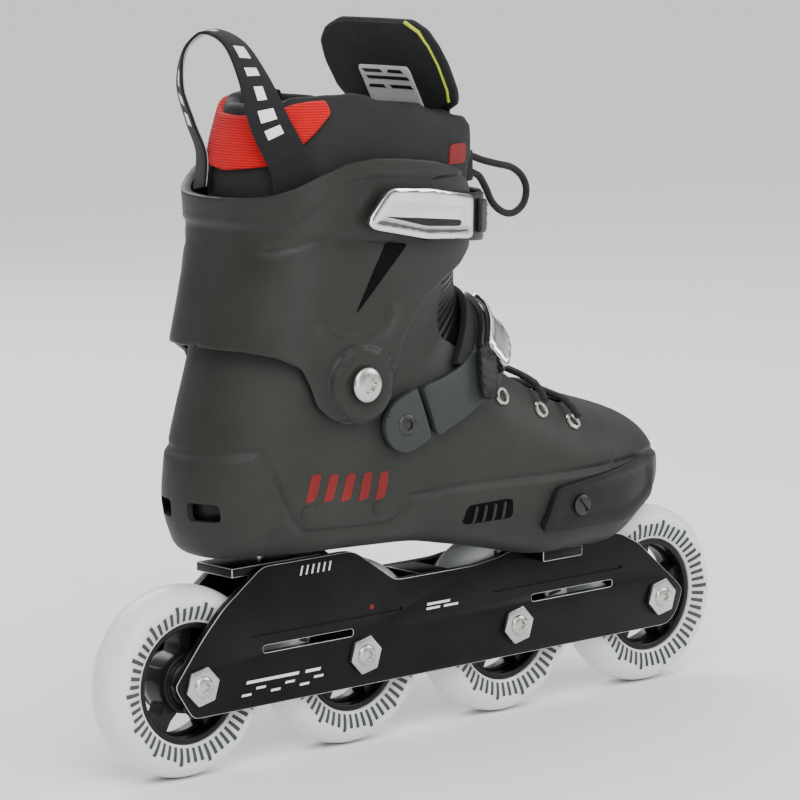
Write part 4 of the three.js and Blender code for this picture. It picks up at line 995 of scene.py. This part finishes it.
SIDES = ((RIGHT, "right"), (LEFT, "left"))
EYELETS = [(12.6, 0.28), (10.93, 0.225), (9.64, 0.2)]
EYELET_RING = [(2.6, -1.2), (4.0, -1.2), (4.4, 0.0), (4.1, 0.8), (3.5, 1.1), (2.9, 0.8), (2.6, 0.1)]
for side, word in SIDES:
    for number, (section, share) in enumerate(EYELETS, 1):
        angle = side * math.acos(1 - 2 * share)
        point = boot_surface(section, angle, 0.6)
        along = boot_surface(section + 0.05, angle, 0.6) - point
        across = boot_surface(section, angle + 0.02, 0.6) - point
        normal = np.cross(along, across)
        normal *= np.sign(normal[2]) / np.linalg.norm(normal)
        eyelet = aimed(lathe("eyelet", EYELET_RING, 40, closed=True), point, normal)
        placed(painted(eyelet, STEEL), "boot",
               [f"eyelet_{word}_{number}"]).name = f"eyelet_ring_{word}_{number}"

    point, normal = boot_spot(59, 107.5, side, 4.3)
    screw = aimed(slotted_head("slider_screw", 5, 1.2, DARK_STEEL), point, normal)
    placed(screw, "boot", [f"slider_screw_{word}"]).name = f"slider_screw_head_{word}"

    hinge = torx_button("hinge_bolt", -72.6, 180, side * 53.0, side, 8.2, 2.0)
    placed(hinge, "boot", [f"hinge_bolt_{word}"]).name = f"hinge_bolt_head_{word}"

    for spot, (x, z) in enumerate(((-98, 122), (-59, 120)), 1):
        point, normal = boot_spot(x, z, side, 0.0)
        plug = aimed(lathe("plug", [(3.4, -1), (3.4, 0.2), (2.9, 0.5), (0.01, 0.5)], 32), point, normal)
        placed(painted(plug, SHELL), "boot").name = f"shell_plug_{word}_{spot}"

    stripes = []
    for k in range(5):
        x = -100 + 9.6 * k
        foot, head = 127 - 0.8 * k, 140 - 0.7 * k
        bar = [(x, foot), (x + 5.2, foot), (x + 8.2, head), (x + 3.0, head)]
        outline = boot_outline(bar)
        stripes.append(conform("stripe", outline, on_boot(side), -0.3, 0.14, 0, 3.0))
    placed(painted(joined(f"shell_print_{word}", stripes), PRINT_RED), "boot")

    window = rounded([(-8, 106), (20.5, 106.5), (19.5, 116), (-6.5, 115.2)], 1.5)
    # The window's well is a near-black sheet under the bars: painted shade in the recess.
    well = conform("window_well", boot_outline(window), on_boot(side), -0.5, 1.5, 0, 2.5)
    placed(painted(well, PAINTED_SHADE), "boot").name = f"window_well_{word}"
    bars = []
    for k in range(4):
        x = -2.6 + 5.4 * k
        bar = [(x, 106.6), (x + 1.5, 106.6), (x + 2.0, 115.2), (x + 0.5, 115.2)]
        bars.append(conform("bar", boot_outline(bar), on_boot(side), 0.2, 2.4, 0.4, 2.0))
    placed(painted(joined(f"window_bars_{word}", bars), SHELL), "boot")

    slider_side = [(44, 118), (36, 98.5), (92, 98), (104, 101), (118, 106), (119, 119), (114, 124.5)]
    recess = np.array([(50, 115), (46, 102), (92, 101.5), (103, 104.5), (113, 109), (113, 117), (110, 120)])

    def slider_relief(points, recess=recess, side=side):
        where = on_boot(side)(points, 3.0)
        return -1.1 * step_up(depth_in(where[:, [0, 2]], recess), 1.6)

    slider = conform("slider", boot_outline(rounded(slider_side, 4)), on_boot(side), 0.5, 4.9, 1.0, 2.0,
                     slider_relief)
    placed(painted(slider, RUBBER), "boot",
           [f"toe_slider_{word}"]).name = f"toe_slider_pad_{word}"

# ---- Cuff ---------------------------------------------------------------------------------

CUFF_SIDE = [
    (-150, 199.5), (-125, 198), (-114, 195), (-104, 189.5), (-100, 181), (-97, 172), (-91, 166),
    (-82, 162), (-72.6, 161), (-63, 163), (-57, 170), (-54.5, 180), (-51, 192), (-46, 202), (-39, 210),
    (-31, 217), (-21, 223.5), (-7, 229), (3, 236), (4.5, 243), (3.5, 262), (0, 268), (-12, 275),
    (-30, 279.5), (-49, 282), (-64, 283), (-79, 281.5), (-92, 276.5), (-103, 271), (-112, 267.5),
    (-122, 266), (-150, 266),
]
RIM_LINE = [(-150, 254), (-118, 254), (-110, 254), (-103, 255), (-94, 263), (-81, 273), (-64, 275.5),
            (-45, 274), (-30, 272)]
CREASE = [(-112, 243), (-96, 247), (-84, 247.5), (-70, 246), (-56, 244)]
EAR_LINE = [(-92, 206), (-86, 202), (-72, 200), (-60, 204), (-54, 212)]


def mirrored(points):
    """The unrolled outline of both sides from a side-view line that runs back to back."""
    right = [(-cuff_turn(x, z), z) for x, z in resampled(points, 2.0, closed=False)]
    return right + [(-turn, z) for turn, z in reversed(right)]


def cuff_relief(points):
    """The cuff's raised rim, hinge bosses, crease and ear line."""
    where = on_cuff(points, 0.0)
    flat = where[:, [0, 2]]
    rim_height = np.interp(flat[:, 0], *np.array(RIM_LINE, float).T)
    above = np.where(flat[:, 1] > rim_height, 1, -1)
    rim = 1.5 * step_up(line_distance(flat, RIM_LINE) * above, 2.6)
    boss_distance = np.hypot(flat[:, 0] + 72.6, flat[:, 1] - 180)
    boss = 2.3 * step_up(17.0 - boss_distance, 2.6)
    moat = -0.7 * np.exp(-((boss_distance - 19.2) / 1.3) ** 2)
    dish = -0.9 * step_up(10.2 - boss_distance, 1.6)
    crease = -1.0 * np.exp(-(line_distance(flat, CREASE) / 1.8) ** 2)
    ear = 1.1 * np.exp(-(line_distance(flat, EAR_LINE) / 3.2) ** 2)
    return rim + boss + moat + dish + crease + ear


cuff = conform("cuff_shell", mirrored(CUFF_SIDE), on_cuff, -3.0, 0.0, 0.9, 1.7, cuff_relief)
placed(painted(cuff, CUFF), "cuff_body", ["cuff"])
for side, word in SIDES:
    # Each slit is a near-black sheet laid on the cuff: painted shade, not an opening.
    slit_side = rounded([(-58, 244), (-45, 242.5), (-69, 219), (-76, 212)], 2)
    slit = conform("slit", cuff_outline(resampled(slit_side, 2), side), on_cuff, -1, 0.35, 0, 2.0)
    placed(painted(slit, PAINTED_SHADE), "cuff_body").name = f"cuff_slit_shade_{word}"

# ---- Liner, collar and heel patch ---------------------------------------------------------

LINER_TABLE = np.concatenate([SECTIONS, [[12, 236, -121, 217, 45, 2.2, 2.2],
                                         [12, 246, -119.5, 229, 45, 2.2, 2.2]]])
SHIN_FILL = 9.0  # the liner's shin stands this far forward of the shell's line
LINER_TABLE[:, 0] += SHIN_FILL * np.clip((LINER_TABLE[:, 1] - 196) / 20, 0, 1)
COLLAR_TOP = [(-140, 301), (-110, 303), (-97, 310), (-80, 312), (-66, 313), (-20, 305), (8, 298), (40, 292)]


def liner_foot():
    """The padded boot liner, from the toes to inside the cuff."""
    rows, columns = 90, 96
    turns = np.linspace(0, 2 * math.pi, columns, endpoint=False)
    verts = []
    for s in np.linspace(1.5, len(LINER_TABLE) - 1, rows):
        quilt = 0.35 * math.sin(s * 6.5)
        verts.append(boot_surface(np.full(columns, s), turns, -5.2 + quilt, LINER_TABLE))
    grid = grid_faces(rows, columns, wrap_columns=True) + [tuple(range(columns))]
    liner = settle(make("liner_boot", np.concatenate(verts), grid))
    return painted(thicken(liner, 3.5), LEATHER)


liner = liner_foot()
liner.data.shade_smooth()
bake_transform(liner)
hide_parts("liner_foot")


def on_collar(points, heights):
    """Plane points (turn, z) on the collar."""
    return ring_surface(COLLAR_RINGS, points[:, 0] / TURN, points[:, 1], heights, (2.3, 2.2))


def collar_plane():
    """The collar's outline, unrolled, open at the tongue."""
    slot_turn = 151.0
    turns = np.linspace(0, slot_turn, 70)
    tops = []
    for turn in turns:
        z = 300.0
        for _ in range(4):
            x = on_collar(np.array([[turn, z]]), 0.0)[0, 0]
            z = float(np.interp(x, *np.array(COLLAR_TOP, float).T))
        tops.append((turn, z))
    left = [(turn, z) for turn, z in tops]
    right = [(-turn, z) for turn, z in reversed(tops)]
    return right + left[1:] + [(slot_turn, 240), (-slot_turn, 240)]


def swollen(obj, pressure=4.0, cap=1.6):
    """Padded fabric: the piece is blown up a little as cloth, with its movement capped."""
    remesh = obj.modifiers.new("remesh", "REMESH")
    remesh.mode = "VOXEL"
    remesh.voxel_size = 4.5 * MM
    bake(obj)
    before = np.array([v.co for v in obj.data.vertices])
    cloth = obj.modifiers.new("cloth", "CLOTH")
    cloth.settings.use_pressure = True
    cloth.settings.uniform_pressure_force = pressure
    cloth.settings.effector_weights.gravity = 0
    scene = bpy.context.scene
    for step in range(1, 21):
        scene.frame_set(step)
    bake(obj)
    scene.frame_set(1)
    after = np.array([v.co for v in obj.data.vertices])
    move = after - before
    far = np.linalg.norm(move, axis=1)
    move *= np.minimum(1, cap * MM / np.maximum(far, 1e-9))[:, None]
    obj.data.vertices.foreach_set("co", (before + move).ravel())
    obj.data.update()
    return smoothed(obj)


collar = conform("collar", collar_plane(), on_collar, -10.0, -1.2, 3.2, 3.0)
collar = swollen(collar)
placed(painted(collar, NEOPRENE), "cuff_body", ["liner_collar"], angle=80)

PATCH = [(0, 302.5), (14, 303.0), (28, 308.0), (34, 309.0), (42, 309.5), (44, 303.5), (38, 295),
         (31, 287), (22, 280.5), (0, 278)]


def patch_outline():
    """The heel patch, from (distance round the back, height)."""
    side = [(turn * 1.28, z) for turn, z in PATCH]
    return [(-turn, z) for turn, z in side] + [(turn, z) for turn, z in reversed(side)]


patch = conform("heel_patch", patch_outline(), on_collar, -3.0, 1.5, 1.2, 2.4)
placed(painted(patch, RED), "cuff_body", angle=60)
for side, word in SIDES:
    mark = [(-14, 276), (0, 276), (1.5, 285), (-12.5, 285.6)]
    outline = [(side * cuff_turn(x, z, 0, COLLAR_RINGS), z) for x, z in resampled(mark, 2)]
    badge = conform("badge", outline, on_collar, -2.0, 0.75, 0, 3.0)
    placed(painted(badge, PRINT_RED), "cuff_body").name = f"collar_badge_{word}"

# ---- Tongue and pull loop -----------------------------------------------------------------

TONGUE_SPINE = np.array([(239, 16.5), (262, 15.5), (288, 8), (312, -4), (332, -14), (341.5, -17)], float)
TONGUE_SIDE = [(239, 16), (262, 18), (288, 24), (300, 26), (304.5, 39), (310, 42), (322, 43), (331, 41),
               (337, 36), (341.5, 26)]
TONGUE_CENTRE = 1.5


def on_tongue(points, heights):
    """Plane points (y, z) on the tongue, which bows back at its sides."""
    y, z = points[:, 0], points[:, 1]
    x = np.interp(z, TONGUE_SPINE[:, 0], TONGUE_SPINE[:, 1]) + heights - 0.0022 * y ** 2
    return np.stack([x, y + TONGUE_CENTRE, z], -1)


def tongue_outline(shrink=0.0, lowest=239):
    """The tongue's edge, pulled in by shrink, from the height lowest up."""
    side = [(half - shrink, min(z, 341.5 - shrink)) for z, half in TONGUE_SIDE if z >= lowest]
    return side + [(-half, z) for half, z in reversed(side)]


TONGUE_EDGE = np.array(rounded(tongue_outline(), 5))


def tongue_relief(points):
    """The stitched line inside the tongue's edge."""
    depth = depth_in(points, TONGUE_EDGE)
    return -0.9 * np.exp(-((depth - 5.5) / 1.0) ** 2)


tongue = conform("tongue_pad", TONGUE_EDGE, on_tongue, -2.4, 3.4, 1.8, 2.2, tongue_relief)
placed(painted(tongue, TONGUE), "cuff_body", ["tongue"], angle=60)
binding_line = on_tongue(resampled(tongue_outline(0.4, 300), 2.5, closed=False), 0.4)
binding = tube("tongue_binding", binding_line, 1.9, 10)
placed(painted(binding, TAPE), "cuff_body", angle=80)
stripe = [(-half + 2.6, z) for z, half in TONGUE_SIDE if z > 302]
piping = tube("tongue_piping", on_tongue(resampled(stripe, 2.0, closed=False), -2.2), 0.9, 8)
placed(painted(piping, PIPING), "cuff_body", angle=80)
label = [(-14, 300), (22, 300), (22, 320), (-14, 320)]
placed(painted(conform("tongue_label", label, on_tongue, -3.1, -2.0, 0.2, 3.0), LABEL),
       "cuff_body")
# Plain bars that stand for the label's print: height, from y, to y.
LABEL_BARS = [(316.5, 6, 20), (316.5, -9, 3), (313.2, -12, 19), (309, 8, 20), (309, -12, 5)]
LABEL_BAR_HEIGHT = 1.6
lines = []
for low, y0, y1 in LABEL_BARS:
    high = low + LABEL_BAR_HEIGHT
    bar = [(y0, low), (y1, low), (y1, high), (y0, high)]
    lines.append(conform("line", bar, on_tongue, -3.25, -3.0, 0, 3.0))
placed(painted(joined("label_lines", lines), BLACK), "cuff_body")

PULL_LOOP = [
    (-109.2, 21.5, 268, .4, .9, 0), (-106.5, 23, 284, .42, .9, 0), (-110.5, 25.5, 299, .45, .9, 0),
    (-116, 25, 316, .5, .85, 0), (-117.5, 18, 333, .6, .75, 0), (-112, 9, 340.5, .75, .6, 0),
    (-107.5, -4, 335.5, .85, .4, 0), (-106, -16, 320, .88, .1, 0), (-105, -26, 300, .85, -.35, 0),
    (-99, -32.5, 281, .81, -.55, 0), (-97.5, -33.5, 266, .81, -.59, 0),
]


def loop_band(name, start, stop, width, thickness, offset, steps):
    """A stretch of the pull loop, moved outward from the loop's middle by offset."""
    table = spline(np.array(PULL_LOOP, float), np.linspace(start, stop, steps))
    centres, across = table[:, :3], table[:, 3:]
    tangents = np.gradient(centres, axis=0)
    out = np.cross(tangents, across)
    out /= np.linalg.norm(out, axis=1)[:, None]
    middle = np.mean(np.array(PULL_LOOP)[:, :3], 0)
    if np.sum(out * (centres - middle)) < 0:
        out = -out
    return ribbon(name, centres + out * offset, across, width, thickness, min(0.3, thickness / 3))


placed(painted(loop_band("pull_loop_web", 0, 10, 19, 1.3, 0.35, 110), TAPE), "cuff_body",
       ["pull_loop"], angle=60)
placed(painted(loop_band("pull_loop_back", 0.05, 9.95, 17.6, 0.5, -0.6, 110), LILAC), "cuff_body",
       angle=60)
# Plain dashes that stand for the loop's print: from and to along PULL_LOOP, and width.
DASHES = [(1.9, 2.25, 8), (2.5, 2.75, 8), (3.0, 3.35, 5), (6.15, 6.5, 8), (6.75, 6.95, 8),
          (7.2, 7.5, 5), (7.7, 7.95, 8), (8.1, 8.3, 8), (4.5, 4.7, 5), (5.1, 5.3, 5)]
dashes = [loop_band("dash", start, stop, width, 0.2, 1.06, 5) for start, stop, width in DASHES]
placed(painted(joined("pull_loop_dashes", dashes), PRINT_WHITE), "cuff_body", angle=60)

# ---- Lace loop ----------------------------------------------------------------------------

LACE_LOOP = [
    (21.6, -12, 275.5), (26, -13, 275.8), (34, -14, 273), (42, -15, 270.8), (51, -15, 268.5),
    (57.5, -15, 264), (60.5, -15, 257.5), (58.5, -15, 250.5), (52, -15, 246.5), (45, -15, 247.5),
    (38.5, -15, 252.5), (33.5, -16, 260), (28.5, -17, 266), (22.6, -18, 268.5),
]
LACE_RADIUS = 1.75


def lace_loop():
    """The cord's loop in front of the tongue, along its CAD route."""
    line = spline(np.array(LACE_LOOP, float), np.linspace(0, len(LACE_LOOP) - 1, 66)) * MM
    data = bpy.data.curves.new("lace_loop_cord", "CURVE")
    data.dimensions = "3D"
    data.bevel_depth = LACE_RADIUS * MM
    data.bevel_resolution = 4
    data.use_fill_caps = True
    run = data.splines.new("POLY")
    run.points.add(len(line) - 1)
    for point, place in zip(run.points, line):
        point.co = (*place, 1)
    obj = bpy.data.objects.new("lace_loop_cord", data)
    bpy.context.scene.collection.objects.link(obj)
    data.materials.append(CORD)
    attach(obj, "cuff_body")
    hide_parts("lace_loop")


lace_loop()
tab = block("lace_loop_tab", 15.5, 21.9, -21, -9, 264.5, 279.5, 1.2)
placed(painted(tab, BLACK), "cuff_body")

# ---- Cuff buckle and strap ----------------------------------------------------------------

FULL_TURN = 2 * math.pi * TURN
CUFF_BASE = [(-38, 243), (-6, 240), (16, 237.5), (16, 260.5), (-6, 262.5), (-38, 266.5)]
CUFF_LEVER = [(-74, 255), (-71, 251.5), (-40, 244.5), (-6.5, 241.5), (-6.5, 262), (-36, 267.5), (-62, 270)]


def on_cuff_right(low_outline, name, low, high, soft, relief=None, corner=2.0, spacing=2.0):
    """A slab on the right side of the cuff, from a side-view outline."""
    outline = cuff_outline(resampled(rounded(low_outline, corner), 1.5), RIGHT, low)
    return conform(name, outline, on_cuff, low, high, soft, spacing, relief)


def lever_relief(points):
    """The lever's rolled edges and its pressed middle."""
    where = on_cuff(points, 5.0)[:, [0, 2]]
    depth = depth_in(where, np.array(CUFF_LEVER, float))
    roll = 0.5 * np.exp(-((depth - 2.2) / 1.6) ** 2)
    lift = 1.6 * step_up(-48 - where[:, 0], 18)
    return roll + lift


base = on_cuff_right(CUFF_BASE, "cuff_buckle_plate", 1.0, 4.2, 0.8)
placed(painted(base, BLACK), "cuff_body", ["cuff_buckle_base"])
lever = on_cuff_right(CUFF_LEVER, "cuff_lever_plate", 4.5, 6.9, 0.7, lever_relief, 4.0, 1.2)
placed(painted(lever, CHROME), "cuff_lever_body", ["cuff_lever"])
# A black strip along the lever: painted shade where the lever's slot lies.
shade = on_cuff_right([(-66, 257.2), (-40, 250.6), (-16, 248.4), (-16, 251.4), (-38, 254)],
                      "cuff_lever_slot_shade", 6.5, 7.25, 0, lever_relief, 1.0)
placed(painted(shade, BLACK), "cuff_lever_body")
catch = on_cuff_right([(2, 243), (11, 242), (11, 258), (2, 259.4)], "cuff_catch", 4.3, 6.6, 0.9)
placed(painted(catch, BLACK), "cuff_body")
for row, z in enumerate((245.5, 250, 254.5), 1):
    tooth = on_cuff_right([(11, z - 1), (15, z - 1.1), (15, z + 1.1), (11, z + 1)], "tooth", 4.2, 6.4, 0.4,
                          None, 0.4)
    placed(painted(tooth, CHROME), "cuff_body").name = f"cuff_catch_tooth_{row}"


def strap_relief(points):
    """Ribs across the strap between two plain borders."""
    across = np.abs(points[:, 1] - 250)
    ribs = 0.45 * np.cos(points[:, 0] * 2 * math.pi / 3.4)
    return np.where(across < 8.5, ribs, 0.3)


strap_start = cuff_turn(-11, 250)
strap_end = FULL_TURN - cuff_turn(15.8, 250)
strap_side = [(strap_start, 239), (strap_end, 239), (strap_end, 261), (strap_start, 261)]
strap = conform("cuff_strap_band", rounded(strap_side, 4), on_cuff, 1.0, 3.6, 0.5, 1.5, strap_relief)
placed(painted(strap, BLACK), "cuff_strap_body", ["cuff_strap"])
anchor = aimed(slotted_head("cuff_strap_screw", 5.5, 1.6, STEEL), (-22, 52.2, 251), (0, 1, 0))
placed(anchor, "cuff_body", ["cuff_strap_anchor"])

# ---- Instep arm, buckle and ladder --------------------------------------------------------

ARM_SCREW = (-46, 158)
ARM_SPLIT = [(-35.3, 174.4), (-28, 150.4)]
ARM_UPPER = [(-24, 176.5), (-11, 180), (2, 187), (12, 198), (20, 208), (31, 217)]
ARM_LOWER = [(44, 200), (33, 188), (22, 176.5), (12, 169), (-9, 158.5)]
LADDER_SIDE = [(-33, 171.5), (-14, 176.5), (2, 183), (14, 193), (24, 203), (36, 214), (44, 201),
               (34, 189), (22, 177.5), (8, 169), (-28, 154)]
BUCKLE = [(4, 190), (19, 206), (28, 214), (41, 201), (30, 188), (16, 175)]
INSTEP_LEVER = [(7, 190), (19, 203), (28, 211.5), (39, 200), (28.5, 188.5), (16, 177.5)]


def boot_piece(name, outline, side, low, high, soft, spacing=2.0, relief=None, corner=2.5, ridge=RIDGE_ANGLE):
    """A slab on one side of the boot, from a side-view outline."""
    soft_outline = rounded(outline, corner) if corner else outline
    plane = boot_outline(soft_outline, (low + high) / 2, ridge)
    return conform(name, plane, on_boot(side), low, high, soft, spacing, relief)


foot_side = [(ARM_SCREW[0] + 13 * math.cos(math.radians(d)), ARM_SCREW[1] + 13 * math.sin(math.radians(d)))
             for d in range(107, 288, 12)]
foot_side += [(ARM_SPLIT[1][0] - 3.2, ARM_SPLIT[1][1]), (ARM_SPLIT[0][0] - 3.2, ARM_SPLIT[0][1])]
arm_foot = boot_piece("instep_arm_root", foot_side, RIGHT, 1.2, 5.2, 1.0, 2.0, None, 0)
placed(painted(arm_foot, ARM), "boot", ["instep_arm_foot"])
arm = boot_piece("instep_arm_plate", [ARM_SPLIT[0]] + ARM_UPPER + ARM_LOWER + [ARM_SPLIT[1]], RIGHT,
                 1.6, 5.2, 1.0)
placed(painted(arm, ARM), "instep_arm_body", ["instep_arm"])
point, normal = boot_spot(*ARM_SCREW, RIGHT, 5.0)
screw = aimed(torx_button("arm_screw", 0, 0, 0, LEFT, 5.2, 1.2), point, normal)
placed(painted(screw, DARK_STEEL), "boot", ["instep_arm_screw"])
point, normal = boot_spot(-40, 161, LEFT, 0.6)
screw = aimed(torx_button("ladder_screw", 0, 0, 0, LEFT, 5.4, 3.2), point, normal)
placed(painted(screw, DARK_STEEL), "boot", ["instep_ladder_anchor"])


def ladder_relief(points):
    """Ribs across the instep strap."""
    return 0.5 * np.cos(points[:, 0] * 2 * math.pi / 3.2 + points[:, 1] * 0.6)


ladder = boot_piece("instep_ladder_strap", LADDER_SIDE, LEFT, 1.6, 4.2, 0.5, 1.6, ladder_relief)
placed(painted(ladder, BLACK), "instep_ladder_body", ["instep_ladder"])
lining_side = [(-12, 182), (-7, 181), (4, 188), (16, 202), (26, 212), (20, 215), (6, 203)]
lining = boot_piece("instep_lining", lining_side, RIGHT, 0.8, 4.6, 1.6, 2.0)
placed(painted(lining, NEOPRENE), "instep_arm_body", angle=80)
plate_piece = boot_piece("instep_buckle_plate", BUCKLE, RIGHT, 5.5, 8.6, 0.9, 2.0, None, 2.0, 0.16)
placed(painted(plate_piece, BLACK), "instep_arm_body", ["instep_buckle_base"])


def instep_lever_relief(points):
    """The lever's rolled edges."""
    where = on_boot(RIGHT)(points, 9.0)[:, [0, 2]]
    depth = depth_in(where, np.array(INSTEP_LEVER, float))
    return 0.8 * np.exp(-((depth - 1.6) / 1.1) ** 2)


instep_lever = boot_piece("instep_lever_plate", INSTEP_LEVER, RIGHT, 9.0, 11.3, 0.6, 1.5,
                          instep_lever_relief, 2.5, 0.2)
placed(painted(instep_lever, CHROME), "instep_lever_body", ["instep_lever"])
tail_side = [(1, 189), (12, 188), (7.5, 172), (3.5, 164.5), (-3, 166.5), (-2.5, 174)]
tail = boot_piece("instep_ladder_tail", tail_side, RIGHT, 8.0, 10.6, 0.5, 1.4,
                  lambda points: 0.5 * np.cos(points[:, 1] * 2 * math.pi / 3.0), 1.5)
placed(painted(tail, BLACK), "instep_arm_body")
